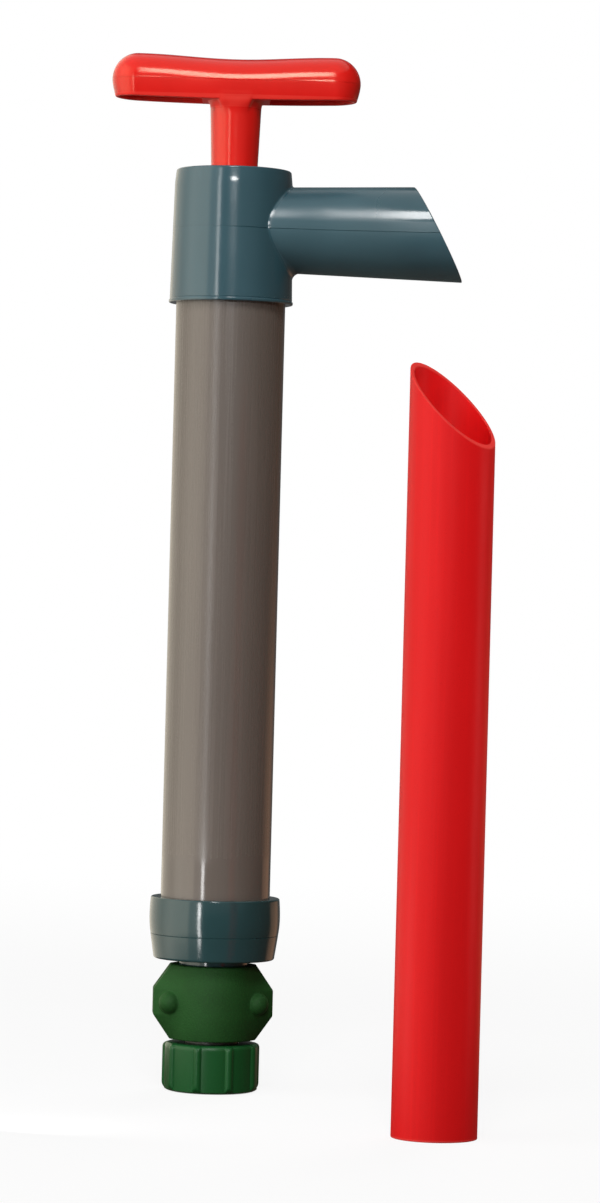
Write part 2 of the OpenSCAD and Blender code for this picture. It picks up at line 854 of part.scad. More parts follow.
barrel_tube();
pump_head();
rod_guide_bush();
rod_wiper_seal();
seal_retainer();
bottom_cap();
foot_valve_seat();
foot_valve_pin();
foot_valve_disc();
coupling_stem();
clamp_half_front();
clamp_half_rear();
clamp_screws();
coupling_nut();
hose_washer();
piston_body();
piston_cup_seal();
piston_valve_flap();
plunger_rod();
rod_end_plug();
piston_washer();
piston_screw();
t_handle();
handle_pin();
extension_tube();
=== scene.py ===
import json
from math import acos, atan2, copysign, cos, degrees, hypot, pi, radians, sin, sqrt, tan, tau

import bmesh
import bpy
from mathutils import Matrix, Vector


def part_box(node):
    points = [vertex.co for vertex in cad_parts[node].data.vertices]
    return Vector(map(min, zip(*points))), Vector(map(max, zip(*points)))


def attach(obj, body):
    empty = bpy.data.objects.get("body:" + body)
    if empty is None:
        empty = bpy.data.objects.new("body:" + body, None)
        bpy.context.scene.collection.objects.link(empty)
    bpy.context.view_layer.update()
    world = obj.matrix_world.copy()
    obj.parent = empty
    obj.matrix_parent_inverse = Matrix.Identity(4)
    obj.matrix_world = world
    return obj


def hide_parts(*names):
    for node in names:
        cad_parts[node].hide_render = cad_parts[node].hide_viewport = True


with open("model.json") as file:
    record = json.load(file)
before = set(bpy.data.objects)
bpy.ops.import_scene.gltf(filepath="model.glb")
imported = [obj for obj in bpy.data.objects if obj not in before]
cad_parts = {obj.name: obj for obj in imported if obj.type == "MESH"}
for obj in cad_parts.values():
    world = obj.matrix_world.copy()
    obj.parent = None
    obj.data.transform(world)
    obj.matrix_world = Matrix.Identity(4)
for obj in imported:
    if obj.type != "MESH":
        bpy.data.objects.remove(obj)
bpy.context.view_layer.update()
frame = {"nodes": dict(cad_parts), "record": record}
mm = 0.001
near = 0.01     # millimetres, closer than this counts as the same place
print("frame loaded with", len(frame["nodes"]), "nodes")


# camera, standing in front of the pump at the photograph's height
camera = {
    "place": (0.0298, -1.665, 0.190),
    "roll": -1.5,               # degrees, the tops lean to the right
    "focalPixels": 4300,
    "longSidePixels": 1203,
    "sensor": 36.0,
}


def setCamera(c):
    bpy.ops.object.camera_add(location=c["place"], rotation=(radians(90), radians(c["roll"]), 0))
    lens = bpy.context.object.data
    lens.sensor_width = c["sensor"]
    lens.lens = c["focalPixels"] / c["longSidePixels"] * c["sensor"]
    bpy.context.scene.camera = bpy.context.object
    bpy.context.scene.view_settings.view_transform = "Standard"


setCamera(camera)
print("camera set")


def nodeBox(node):
    return [[side / mm for side in corner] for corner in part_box(node)]


def mountPlace(name):
    mount = next(m for m in frame["record"]["mounts"] if m["name"] == name)
    return [side / mm for side in mount["pos_m"]]


def smoothStep(low, high, value):
    t = min(1.0, max(0.0, (value - low) / (high - low)))
    return t * t * (3 - 2 * t)


# modelling helpers, outlines are in millimetres
def deselectAll():
    if bpy.context.object and bpy.context.object.mode != "OBJECT":
        bpy.ops.object.mode_set(mode="OBJECT")
    bpy.ops.object.select_all(action="DESELECT")


def pickOnly(*pieces):
    deselectAll()
    for piece in pieces:
        piece.select_set(True)
    bpy.context.view_layer.objects.active = pieces[0]


def editAll(piece):
    pickOnly(piece)
    bpy.ops.object.mode_set(mode="EDIT")
    bpy.ops.mesh.select_all(action="SELECT")


def leaveEdit():
    bpy.ops.object.mode_set(mode="OBJECT")


def applyPlace():
    bpy.ops.object.transform_apply(location=True, rotation=True, scale=True)


def applyModifier(piece, kind, **settings):
    pickOnly(piece)
    bpy.ops.object.modifier_add(type=kind)
    modifier = piece.modifiers[-1]
    for key, value in settings.items():
        setattr(modifier, key, value)
    bpy.ops.object.modifier_apply(modifier=modifier.name)


def combine(piece, tool, operation):
    applyModifier(piece, "BOOLEAN", object=tool, operation=operation, solver="EXACT")
    bpy.data.objects.remove(tool)


def selectEdges(piece, test):
    # in edit mode: selects the edges that pass the test
    bpy.ops.mesh.select_mode(type="EDGE")
    bpy.ops.mesh.select_all(action="DESELECT")
    mesh = bmesh.from_edit_mesh(piece.data)
    for edge in mesh.edges:
        if test(edge):
            edge.select_set(True)
    mesh.select_flush_mode()
    bmesh.update_edit_mesh(piece.data)


def tidyMesh(piece, merge=0.002):
    editAll(piece)
    bpy.ops.mesh.remove_doubles(threshold=merge * mm)
    bpy.ops.mesh.normals_make_consistent(inside=False)
    leaveEdit()


def roundCorners(corners, closed=True, segments=6, support=0.18):
    # corners are (radius, height, fillet); a fillet becomes an arc with a holding point on each side
    points = []
    count = len(corners)
    for k, (r, z, fillet) in enumerate(corners):
        here = Vector((r, z))
        atEnd = not closed and k in (0, count - 1)
        if atEnd or fillet <= 0:
            points.append(here)
            continue
        before, after = (Vector(corners[n][:2]) - here for n in (k - 1, (k + 1) % count))
        back, onward = before.normalized(), after.normalized()
        half = before.angle(after) / 2
        reach = fillet / tan(half)
        centre = here + (back + onward).normalized() * fillet / sin(half)
        start, end = here + back * reach, here + onward * reach
        if before.length > reach + 4 * support:
            points.append(start + back * support)
        sweep = (end - centre).angle(start - centre)
        for i in range(segments + 1):
            a = sweep * i / segments
            weights = (sin(sweep - a) / sin(sweep), sin(a) / sin(sweep))
            points.append(centre + (start - centre) * weights[0] + (end - centre) * weights[1])
        if after.length > reach + 4 * support:
            points.append(end + onward * support)
    if closed:
        points.append(points[0])
    return [tuple(point) for point in points]


def ringCorners(bore, out, low, high, edge):
    # square section of a pipe or ring, all four corners rounded alike
    return [(bore, low, edge), (out, low, edge), (out, high, edge), (bore, high, edge)]


def plugOutline(radius, low, high):
    return [(0, low), (radius, low), (radius, high), (0, high)]


def lineCorners(radius, z, half, deep):
    # parting line, a shallow groove
    return [(radius, z - half, 0), (radius - deep, z, 0), (radius, z + half, 0)]


def addPlane(size):
    deselectAll()
    bpy.ops.mesh.primitive_plane_add(size=size, location=(0, 0, 0))
    return bpy.context.object


spinAxes = {        # the way of the outline's radius, then of the axis
    "X": ((0, 0, 1), (1, 0, 0)), "Y": ((1, 0, 0), (0, 1, 0)), "Z": ((1, 0, 0), (0, 0, 1)),
}


def lathe(name, outline, along="Z", centre=(0, 0, 0), steps=180):
    # one vertex is drawn along the outline of (radius, height) and spun about an axis through the centre
    radial, axis = spinAxes[along]
    spots = [(Vector(centre) + Vector(radial) * r + Vector(axis) * h) * mm for r, h in outline]
    piece = addPlane(mm)
    piece.name = piece.data.name = name
    bpy.ops.object.mode_set(mode="EDIT")
    bpy.ops.mesh.select_mode(type="VERT")
    bpy.ops.mesh.select_all(action="SELECT")
    bpy.ops.mesh.merge(type="CENTER")
    bpy.ops.transform.translate(value=spots[0])
    for a, b in zip(spots, spots[1:]):
        bpy.ops.mesh.extrude_region_move(TRANSFORM_OT_translate={"value": b - a})
    bpy.ops.mesh.select_all(action="SELECT")
    bpy.ops.mesh.spin(steps=steps, angle=tau, center=Vector(centre) * mm, axis=axis)
    leaveEdit()
    tidyMesh(piece, 0.001)
    return piece


def wrapGrid(name, columns, rows, place):
    # a grid whose every crossing is moved to the place that its column and row give
    deselectAll()
    bpy.ops.mesh.primitive_grid_add(x_subdivisions=columns, y_subdivisions=rows, size=2)
    piece = bpy.context.object
    piece.name = piece.data.name = name
    for vertex in piece.data.vertices:
        column = round((vertex.co.x + 1) / 2 * columns)
        row = round((vertex.co.y + 1) / 2 * rows)
        vertex.co = Vector(place(column, row)) * mm
    tidyMesh(piece)
    return piece


def cutSlant(piece, point, normal, edge):
    # cuts a tube off along a plane, closes its wall again and rounds the two rim edges
    p, n = Vector(point) * mm, Vector(normal).normalized()
    off, square = 0.001 * mm, 0.999

    def onPlane(e):
        return all(abs((v.co - p).dot(n)) < off for v in e.verts)

    def onRim(e):
        return sum(f.normal.dot(n) > square for f in e.link_faces) == 1 and onPlane(e)

    editAll(piece)
    bpy.ops.mesh.bisect(plane_co=p, plane_no=n, clear_outer=True, use_fill=False)
    selectEdges(piece, lambda e: e.is_boundary and onPlane(e))
    bpy.ops.mesh.bridge_edge_loops()
    bpy.ops.mesh.select_all(action="SELECT")
    bpy.ops.mesh.normals_make_consistent(inside=False)
    selectEdges(piece, onRim)
    bpy.ops.mesh.bevel(offset=edge * mm, segments=3, affect="EDGES")
    leaveEdit()
    tidyMesh(piece)


def smoothShade(piece, angle=32):
    pickOnly(piece)
    bpy.ops.object.shade_smooth_by_angle(angle=radians(angle))
    applyModifier(piece, "WEIGHTED_NORMAL", keep_sharp=True, weight=60)


def paint(mesh, slot):
    mesh.materials.clear()
    mesh.materials.append(finishes[slot])


def finishPiece(piece, body, slot, *nodes):
    paint(piece.data, slot)
    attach(piece, body)
    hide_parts(*nodes)
    print(piece.name, "made,", len(piece.data.polygons), "faces")


# shader maths: a wire is one socket, and sums on wires add their own nodes
class Wire:
    def __init__(self, tree, socket=None):
        self.tree = tree
        self.socket = socket

    @staticmethod
    def findSocket(sockets, key):
        if isinstance(key, int):
            return sockets[key]
        return next(s for s in sockets if s.enabled and key in (None, s.name))

    def node(self, kind, sockets=None, out=None, **settings):
        made = self.tree.nodes.new("ShaderNode" + kind)
        for key, value in settings.items():
            setattr(made, key, value)
        for key, value in (sockets or {}).items():
            socket = self.findSocket(made.inputs, key)
            if isinstance(value, Wire):
                self.tree.links.new(value.socket, socket)
            else:
                socket.default_value = value
        return Wire(self.tree, self.findSocket(made.outputs, out) if made.outputs else None)

    def sum(self, operation, a, b):
        return self.node("Math", {0: a, 1: b}, operation=operation)

    def __add__(self, other):
        return self.sum("ADD", self, other)

    def __sub__(self, other):
        return self.sum("SUBTRACT", self, other)

    def __rsub__(self, other):
        return self.sum("SUBTRACT", other, self)

    def __mul__(self, other):
        return self.sum("MULTIPLY", self, other)

    __radd__, __rmul__ = __add__, __mul__

    def step(self, low, high):
        # smooth rise from 0 at low to 1 at high
        return self.node("MapRange", {"Value": self, "From Min": low, "From Max": high},
                         interpolation_type="SMOOTHSTEP")


def emptyTree(owner):
    owner.use_nodes = True
    owner.node_tree.nodes.clear()
    return Wire(owner.node_tree)


def newFinish(name):
    finish = bpy.data.materials.new(name)
    return finish, emptyTree(finish)


def objectSpace(wire):
    return wire.node("TexCoord", out="Object")


def speckle(wire, scale, detail=2.0, stretch=(1, 1, 1)):
    # noise in object space, counted per metre; a small stretch number draws it out along that axis
    space = wire.node("Mapping", {"Vector": objectSpace(wire), "Scale": stretch})
    return wire.node("TexNoise", {"Vector": space, "Scale": scale, "Detail": detail}, 0)


def axisOf(wire, letter):
    return wire.node("SeparateXYZ", {0: objectSpace(wire)}, letter)


def fromCentre(wire):
    return wire.node("VectorMath", {0: objectSpace(wire)}, "Value", operation="LENGTH")


def pastPlane(wire, point, normal):
    # distance in metres past a plane, as the cut end of a tube has
    offset = wire.node("VectorMath", {0: objectSpace(wire), 1: Vector(point) * mm}, operation="SUBTRACT")
    return wire.node("VectorMath", {0: offset, 1: Vector(normal).normalized()}, "Value",
                     operation="DOT_PRODUCT")


def band(value, low, high):
    # 1 between the two steps and 0 beyond them
    return value.step(*low) * (1 - value.step(*high))


def blend(wire, share, first, second):
    return wire.node("Mix", {"Factor": share, "A": first, "B": second}, "Result", data_type="RGBA")


def tint(colour, level):
    return tuple(min(1.0, c * level) for c in colour) + (1.0,)


def bump(wire, height, strength, distance):
    return wire.node("Bump", {"Height": height, "Strength": strength, "Distance": distance}, "Normal")


def closeFinish(wire, colour, roughness, normal, **fixed):
    sockets = {"Base Color": colour, "Roughness": roughness, "Normal": normal}
    sockets.update({name.replace("_", " "): value for name, value in fixed.items()})
    surface = wire.node("BsdfPrincipled", sockets)
    wire.node("OutputMaterial", {"Surface": surface})


# finishes, one dictionary a kind; colours are linear
mouldings = {
    "head_plastic": {"colour": (0.036, 0.096, 0.120), "gloss": 0.12, "peel": 0.24, "wave": 0.5,
                     "dust": 0.06, "shine": 0.5},
    "cap_plastic": {"colour": (0.020, 0.060, 0.064), "gloss": 0.12, "peel": 0.16, "wave": 0.8,
                    "dust": 0.05, "shine": 0.5},
    "handle_plastic": {"colour": (0.850, 0.0135, 0.0105), "gloss": 0.15, "peel": 0.16, "wave": 2.0,
                       "dust": 0.02, "shine": 0.42, "shineTone": (1, 0.80, 0.60, 1)},
    "nut_plastic": {"colour": (0.007, 0.074, 0.017), "gloss": 0.30, "peel": 0.24, "wave": 0.5,
                    "dust": 0.05, "shine": 0.25},
}
mouldMarks = {      # marks to a metre, detail and stretch
    "flow": (38, 3, (1, 1, 0.45)), "dust": (1300, 2), "peel": (260, 2), "finePeel": (1400, 1),
    "wave": (75, 1, (0.6, 1, 1)),
}
spoutSkin = {       # where each change starts and ends, in metres, and how strong it is
    "headEdge": (0.0233, 0.0244), "root": (0.006, 0.012), "highlight": (0.0022, 0.0040),
    "wavy": (0.020, 0.040), "waves": 6, "mouth": (0.050, 0.076),
    "satin": 0.17, "polish": 0.20, "dull": 0.30,
}
barUnderside = {"from": (0.3792, 0.3808), "to": (0.3841, 0.3849), "satin": 0.33}


def mouldedFinish(wire, name, m):
    # injection-moulded plastic: faint flow marks, a little orange peel and fine dust
    marks = {mark: speckle(wire, *grain) for mark, grain in mouldMarks.items()}
    flow, dust = marks["flow"], marks["dust"]
    tone = blend(wire, flow.step(0.3, 0.7), tint(m["colour"], 0.94), tint(m["colour"], 1.06))
    tone = blend(wire, dust.step(0.62, 0.78) * m["dust"], tone, tint(m["colour"], 1.6))
    roughness = m["gloss"] + flow.step(0.35, 0.75) * 0.06 + dust.step(0.55, 0.75) * 0.03
    peel = marks["peel"] * 0.7 + marks["finePeel"] * 0.3
    wave = marks["wave"] * m["wave"]
    if name == "head_plastic":      # the spout is wavy, polished at its mouth and dull below its highlight
        s, along, across = spoutSkin, axisOf(wire, "X"), axisOf(wire, "Y")
        up = axisOf(wire, "Z") - mountPlace("spout_socket")[2] * mm
        below = 1 - up.step(*s["highlight"])
        edge = [r ** 2 for r in s["headEdge"]]
        onSpout = (along * along + across * across).step(*edge) * along.step(*s["root"])
        roughness = roughness + onSpout * s["satin"] - along.step(*s["mouth"]) * s["polish"]
        roughness = roughness + onSpout * below * s["dull"]
        wave = wave * (1 + along.step(*s["wavy"]) * s["waves"])
    if name == "handle_plastic":
        under = band(axisOf(wire, "Z"), barUnderside["from"], barUnderside["to"])
        roughness = roughness + under * barUnderside["satin"]
    relief = bump(wire, peel * m["peel"] + wave, 1.0, 0.0001)
    closeFinish(wire, tone, roughness, relief, Specular_IOR_Level=m["shine"],
                Specular_Tint=m.get("shineTone", (1, 1, 1, 1)))


pipes = {
    "barrel_pipe": {"colour": (0.150, 0.126, 0.107), "gloss": 0.23, "lines": 0.05, "shine": 0.5},
    "rod_pipe": {"colour": (0.50, 0.48, 0.45), "gloss": 0.30, "lines": 0.05, "shine": 0.5},
    "tube_plastic": {"colour": (0.850, 0.0095, 0.011), "gloss": 0.36, "lines": 0.04, "shine": 0.12},
}
pipeMarks = {"lines": (900, 3, (1, 1, 0.012)), "slow": (30, 2, (1, 1, 0.3)), "grain": (2600, 1)}
solvent = {"top": 0.0895, "fade": 0.0025, "wander": 0.006, "gloss": 0.13}      # glue wiped on above the cap
tubeCut = {"point": (82.5, -131, 261.5), "normal": (0.579, -0.406, 0.707)}
tubeEnds = {        # the sawn faces are paler and rougher
    "cut": (-0.0004, -0.0001), "foot": (0.0006, 0.0010), "colour": (0.90, 0.09, 0.07, 1),
    "share": 0.45, "rougher": 0.2,
}


def pipeFinish(wire, name, p):
    # extruded pipe: long faint die lines, fine grain and slow changes of tone
    lines, slow, grain = (speckle(wire, *marks) for marks in pipeMarks.values())
    tone = blend(wire, slow.step(0.3, 0.7), tint(p["colour"], 0.96), tint(p["colour"], 1.04))
    tone = blend(wire, lines.step(0.5, 0.75) * 0.25, tone, tint(p["colour"], 1.15))
    tone = blend(wire, grain.step(0.55, 0.75) * 0.25, tone, tint(p["colour"], 0.75))
    roughness = p["gloss"] + lines.step(0.4, 0.7) * 0.05 + grain * 0.05
    if name == "barrel_pipe":
        edge = solvent["top"] + (speckle(wire, 60, 2) - 0.5) * solvent["wander"]
        wiped = 1 - (axisOf(wire, "Z") - edge).step(-solvent["fade"], solvent["fade"])
        roughness = roughness * (1 - wiped) + wiped * solvent["gloss"]
    if name == "tube_plastic":
        cut = pastPlane(wire, tubeCut["point"], tubeCut["normal"]).step(*tubeEnds["cut"])
        sawn = cut + (1 - axisOf(wire, "Z").step(*tubeEnds["foot"]))
        tone = blend(wire, sawn * tubeEnds["share"], tone, tubeEnds["colour"])
        roughness = roughness + sawn * tubeEnds["rougher"]
    closeFinish(wire, tone, roughness, bump(wire, lines * 0.8 + grain * 0.2, p["lines"], 0.0003),
                Specular_IOR_Level=p["shine"])


def clampFinish(wire):
    # spark-textured matt plastic
    colour = (0.010, 0.058, 0.010)
    grain = speckle(wire, 1500, 2)
    slow = speckle(wire, 70, 3)
    tone = blend(wire, slow.step(0.3, 0.7), tint(colour, 0.9), tint(colour, 1.1))
    tone = blend(wire, grain.step(0.5, 0.72) * 0.5, tone, tint(colour, 1.5))
    closeFinish(wire, tone, 0.60 + grain * 0.15, bump(wire, grain, 0.35, 0.0004), Specular_IOR_Level=0.2)


gapShade = {       # painted shade: the stem is darkened in the gap between nut and clamp, where shade falls
    "from": (0.0160, 0.0172), "to": (0.0235, 0.0250), "share": 0.95, "colour": (0.012, 0.018, 0.010, 1),
}


def acetalFinish(wire):
    colour = (0.72, 0.71, 0.66)
    cloud = speckle(wire, 110, 3)
    tone = blend(wire, cloud.step(0.3, 0.7), tint(colour, 0.93), tint(colour, 1.05))
    # painted shade: a near-black band where the stem shows between nut and clamp
    shadeShare = band(axisOf(wire, "Z"), gapShade["from"], gapShade["to"]) * gapShade["share"]
    tone = blend(wire, shadeShare, tone, gapShade["colour"])
    turned = speckle(wire, 1800, 2, (0.25, 0.25, 1))
    closeFinish(wire, tone, 0.34 + cloud * 0.12, bump(wire, turned, 0.12, 0.0003))


def rubberFinish(wire):
    colour = (0.020, 0.020, 0.021)
    bloom = speckle(wire, 160, 4)
    tone = blend(wire, bloom.step(0.45, 0.75) * 0.5, tint(colour, 1), tint(colour, 2.2))
    closeFinish(wire, tone, 0.55 + bloom * 0.2, bump(wire, speckle(wire, 1600, 2), 0.2, 0.0003))


def zincFinish(wire):
    # bright zinc plate with a faint rainbow in its passivation
    cloud = speckle(wire, 420, 3)
    tone = blend(wire, cloud.step(0.3, 0.7), (0.60, 0.60, 0.56, 1), (0.66, 0.64, 0.68, 1))
    scratch = speckle(wire, 1500, 2, (1, 0.2, 1))
    closeFinish(wire, tone, 0.26 + cloud * 0.16, bump(wire, scratch, 0.12, 0.0002), Metallic=1.0)


recipes = {slot: (mouldedFinish, slot, m) for slot, m in mouldings.items()}
recipes.update({slot: (pipeFinish, slot, p) for slot, p in pipes.items()})
recipes.update({"clamp_plastic": [clampFinish], "acetal": [acetalFinish], "rubber": [rubberFinish],
                "steel": [zincFinish]})
finishes = {}
for slot, (recipe, *settings) in recipes.items():
    finishes[slot], wire = newFinish(slot)
    recipe(wire, *settings)
for subpart in frame["record"]["subparts"]:
    paint(frame["nodes"][subpart["node"]].data, subpart["material_slot"])
print("finishes made")


# barrel tube, made as the plain rings further down are
barrel = {
    "node": "barrel_tube", "body": "barrel", "slot": "barrel_pipe", "bore": 17.5, "edge": 0.4, "steps": 180,
}


def makeRing(name, r):
    low, high = nodeBox(r["node"])
    corners = ringCorners(r["bore"], high[0], low[2], high[2], r["edge"])
    piece = lathe(name, roundCorners(corners), steps=r["steps"])
    smoothShade(piece)
    finishPiece(piece, r["body"], r["slot"], r["node"])


makeRing("barrelTube", barrel)


# pump head with its spout, one moulding
head = {
    "beadRadius": 24.0, "beadHigh": 1.2, "grooveDeep": 0.12, "grooveAt": (0.1, 0.3, 0.5), "lowRadius": 23.7,
    "crownRadius": 22.8, "crownHigh": 7.2, "crownBend": 3.4, "crownIn": 0.6, "topRound": 0.7,
    "lineHalf": 0.15, "lineDeep": 0.2, "lineLip": 0.04,
    "lineDrop": 3.0, "lineOut": 0.6,        # the parting line lies this many degrees below the spout's axis
    "socket": 21.15, "socketDeep": 11.6, "chamber": 16.7, "roof": 7.5,
    "hubRadius": 12.5, "hubHole": 10.5, "hubDeep": 21.0, "recess": 9.45, "recessDeep": 4.0,
    "spoutRadius": 16.0, "spoutTaper": 1.6, "spoutFrom": 15.5, "spoutTo": 102.0,
    "bore": 14.6, "boreCut": 14.55, "boreFrom": 8, "boreTo": 40, "mouthBore": 15.62, "mouthFrom": 55.5,
    "mouthAt": 79.5, "mouthNormal": (0.883, 0, 0.469), "mouthRound": 0.4,
    "rootTop": 1.0, "rootLow": 3.0, "rootSide": 1.6,        # fillet where the spout leaves the head
    "rootWide": 0.14, "rootFrom": 14.0, "rootTo": 42.0,     # the root is wider than it is tall
    "rootIn": 18.5, "rootStart": 11.0,
    "wallLow": (308, 312, 316, 320, 324, 328, 331), "wallHigh": (334, 337, 341, 345),
    "crownRows": (0, 0.5, 1, 1.5, 2, 2.5, 3, 3.5, 4.2, 5, 6),
    "spoutRows": (20, 22, 24, 26, 28, 30, 33, 36, 39, 42, 46, 50, 55, 61, 67),
}


def makeHead(h):
    low, high = nodeBox("pump_head")
    z0, z1 = low[2], high[2]
    axisZ = mountPlace("spout_socket")[2]
    lineZ = axisZ - sin(radians(h["lineDrop"])) * (h["spoutRadius"] + h["lineOut"])
    crown = z1 - h["crownHigh"]

    def headRadius(z):
        if z < crown:
            return h["lowRadius"] + (h["crownRadius"] - h["lowRadius"]) * (z - z0) / (crown - z0)
        up, bend = z - crown, h["crownBend"]        # a short bend and then a straight cone
        fall = h["crownIn"] / (h["crownHigh"] - bend / 2)
        return h["crownRadius"] - fall * (up * up / (2 * bend) if up < bend else up - bend / 2)

    def spoutRadius(x):
        return h["spoutRadius"] + tan(radians(h["spoutTaper"])) * x

    def spoutWide(x):
        return 1 + h["rootWide"] * (1 - smoothStep(h["rootFrom"], h["rootTo"], x))

    beadTop = z0 + h["beadHigh"]
    neck, grooveDeep, (g0, g1, g2) = headRadius(beadTop), h["grooveDeep"], h["grooveAt"]
    ledge, hubLow, roof = (z1 - h[deep] for deep in ("recessDeep", "hubDeep", "roof"))
    stop = z0 + h["socketDeep"]
    corners = [(h["socket"], z0, 0.3), (h["beadRadius"], z0, 0.45), (h["beadRadius"], beadTop, 0.35),
               (neck - grooveDeep, beadTop + g0, 0), (neck - grooveDeep, beadTop + g1, 0),
               (neck, beadTop + g2, 0)]
    corners += [(headRadius(z), z, 0) for z in h["wallLow"]]
    corners += lineCorners(headRadius(lineZ), lineZ, h["lineHalf"], h["lineDeep"])
    corners += [(headRadius(z), z, 0) for z in h["wallHigh"]]
    corners += [(headRadius(crown + t), crown + t, 0) for t in h["crownRows"]]
    corners += [(headRadius(z1), z1, h["topRound"]), (h["recess"], z1, 0.4),
                (h["recess"], ledge, 0), (h["hubHole"], ledge, 0),
                (h["hubHole"], hubLow, 0.2), (h["hubRadius"], hubLow, 0.3),
                (h["hubRadius"], roof, 0.5), (h["chamber"], roof, 0.8),
                (h["chamber"], stop, 0.2), (h["socket"], stop, 0.2)]
    piece = lathe("pumpHead", roundCorners(corners), steps=240)
    for vertex in piece.data.vertices:      # the line is faint on the far side and deep beside the spout
        x, y, z = vertex.co / mm
        r = hypot(x, y)
        if abs(z - lineZ) < near and r > h["socket"]:
            deeper = h["lineDeep"] * (1.5 * smoothStep(-0.4, 0.9, x / r) - 0.7)
            vertex.co.x -= x / r * deeper * mm
            vertex.co.y -= y / r * deeper * mm
    boreCut = lathe("boreCut", plugOutline(h["boreCut"], h["boreFrom"], h["boreTo"]), "X", (0, 0, axisZ))
    combine(piece, boreCut, "DIFFERENCE")

    far = h["spoutTo"]
    wall = [(spoutRadius(x), x, 0) for x in (h["spoutFrom"], *h["spoutRows"])]
    wall += [(spoutRadius(far), far, 0), (h["mouthBore"], far, 0), (h["mouthBore"], h["mouthFrom"], 0.3),
             (h["bore"], h["mouthFrom"], 0.3), (h["bore"], h["spoutFrom"], 0)]
    spout = lathe("spout", roundCorners(wall), "X", (0, 0, axisZ), 240)

    # the parting line runs on along both sides of the spout
    editAll(spout)
    skin = h["spoutRadius"] - 0.1
    onLine, lipTo = 0.1, 0.9        # degrees

    def aboveLine(vertex):      # degrees round the spout, outside only
        y, z = vertex.co.y / mm, vertex.co.z / mm - axisZ
        if hypot(y, z) <= skin:
            return 90
        return degrees(atan2(z, abs(y))) + h["lineDrop"]

    selectEdges(spout, lambda e: all(abs(aboveLine(v)) < onLine for v in e.verts))
    bpy.ops.mesh.bevel(offset=h["lineHalf"] * mm, segments=2, affect="EDGES")
    mesh = bmesh.from_edit_mesh(spout.data)
    for vertex in mesh.verts:
        above = aboveLine(vertex)
        if abs(above) < onLine:
            vertex.co.y -= copysign(h["lineDeep"] * mm, vertex.co.y)
        elif onLine < above < lipTo:
            vertex.co.y += copysign(h["lineLip"] * mm, vertex.co.y)
    bmesh.update_edit_mesh(spout.data)
    leaveEdit()
    for vertex in spout.data.vertices:
        x, y, z = vertex.co / mm
        if hypot(y, z - axisZ) > skin:
            vertex.co.y = y * spoutWide(x) * mm
        if abs(x - h["spoutFrom"]) < near:      # the root ends inside the head's wall
            inside = sqrt(max(0, h["rootIn"] ** 2 - (vertex.co.y / mm) ** 2))
            vertex.co.x = max(h["rootStart"], inside) * mm
    cutSlant(spout, (h["mouthAt"], 0, axisZ), h["mouthNormal"], h["mouthRound"])
    combine(piece, spout, "UNION")

    # fillet where the spout leaves the head, as a ball would roll round the corner
    around, arc, sink = 144, 8, 0.03
    widest = h["spoutRadius"] * (1 + h["rootWide"])

    def filletPlace(column, row):
        turn = tau * column / around
        ballRadius = h["rootTop"] + (h["rootLow"] - h["rootTop"]) * smoothStep(-0.3, 0.3, -cos(turn))
        ballRadius += (h["rootSide"] - ballRadius) * smoothStep(0.5, 1.0, abs(sin(turn)))
        meet = sqrt(h["crownRadius"] ** 2 - (widest * sin(turn)) ** 2)
        tall = spoutRadius(meet)
        wide = tall * spoutWide(meet + ballRadius)
        edge = Vector((0, wide * sin(turn), tall * cos(turn)))
        out = Vector((0, sin(turn) / wide, cos(turn) / tall)).normalized()
        y, z = edge.y + out.y * ballRadius, axisZ + edge.z + out.z * ballRadius
        r = headRadius(z)
        ball = Vector((sqrt((r + ballRadius) ** 2 - y * y), y, z))
        onSpout = ball - out * (ballRadius + sink)
        step = (r - sink) / (r + ballRadius)
        onHead = Vector((ball.x * step, y * step, z))
        middle = ((onSpout + onHead) / 2 - ball).normalized()
        if row == arc + 1:      # buried in the corner
            return ball + middle * (ballRadius * 1.42 + 0.6)
        if row == arc + 2:
            row = 0
        return ball + (onSpout - ball).slerp(onHead - ball, row / arc) * (ballRadius + sink)

    fillet = wrapGrid("fillet", around, arc + 2, filletPlace)
    combine(piece, fillet, "UNION")
    smoothShade(piece, 30)
    finishPiece(piece, "barrel", "head_plastic", "pump_head")


makeHead(head)


# bottom cap with the hose spigot
cap = {
    "bottom": 51.0, "bottomRadius": 23.3, "bottomRound": 0.9,
    "line": 60.5, "lineRadius": 24.7, "lineHalf": 0.15, "lineDeep": 0.2,
    "belly": 67.2, "bellyRadius": 25.25, "bellyRows": 10, "bellyStop": 0.9,
    "topRadius": 24.85, "topRound": 0.6,
    "socket": 21.15, "socketFrom": 55.0, "spigot": 13.35, "spigotBore": 10.45, "spigotLow": 22.3,
}


def makeCap(c):
    top = nodeBox("bottom_cap")[1][2]
    corners = [(c["spigotBore"], c["spigotLow"], 0.5), (c["spigot"], c["spigotLow"], 0.5),
               (c["spigot"], c["bottom"], 0.6), (c["bottomRadius"], c["bottom"], c["bottomRound"])]
    line, belly, widest, rows = c["line"], c["belly"], c["bellyRadius"], c["bellyRows"]
    corners += lineCorners(c["lineRadius"], line, c["lineHalf"], c["lineDeep"])
    for k in range(1, rows + 1):        # a parabola through the line, the widest place and the top
        z = line + (top - c["bellyStop"] - line) * k / rows
        r, end = (c["lineRadius"], line) if z < belly else (c["topRadius"], top)
        corners.append((widest - (widest - r) * ((z - belly) / (end - belly)) ** 2, z, 0))
    corners += [(c["topRadius"], top, c["topRound"]), (c["socket"], top, 0.35),
                (c["socket"], c["socketFrom"], 0.2), (c["spigotBore"], c["socketFrom"], 0.3)]
    piece = lathe("bottomCap", roundCorners(corners), steps=240)
    smoothShade(piece, 30)
    finishPiece(piece, "barrel", "cap_plastic", "bottom_cap")


makeCap(cap)


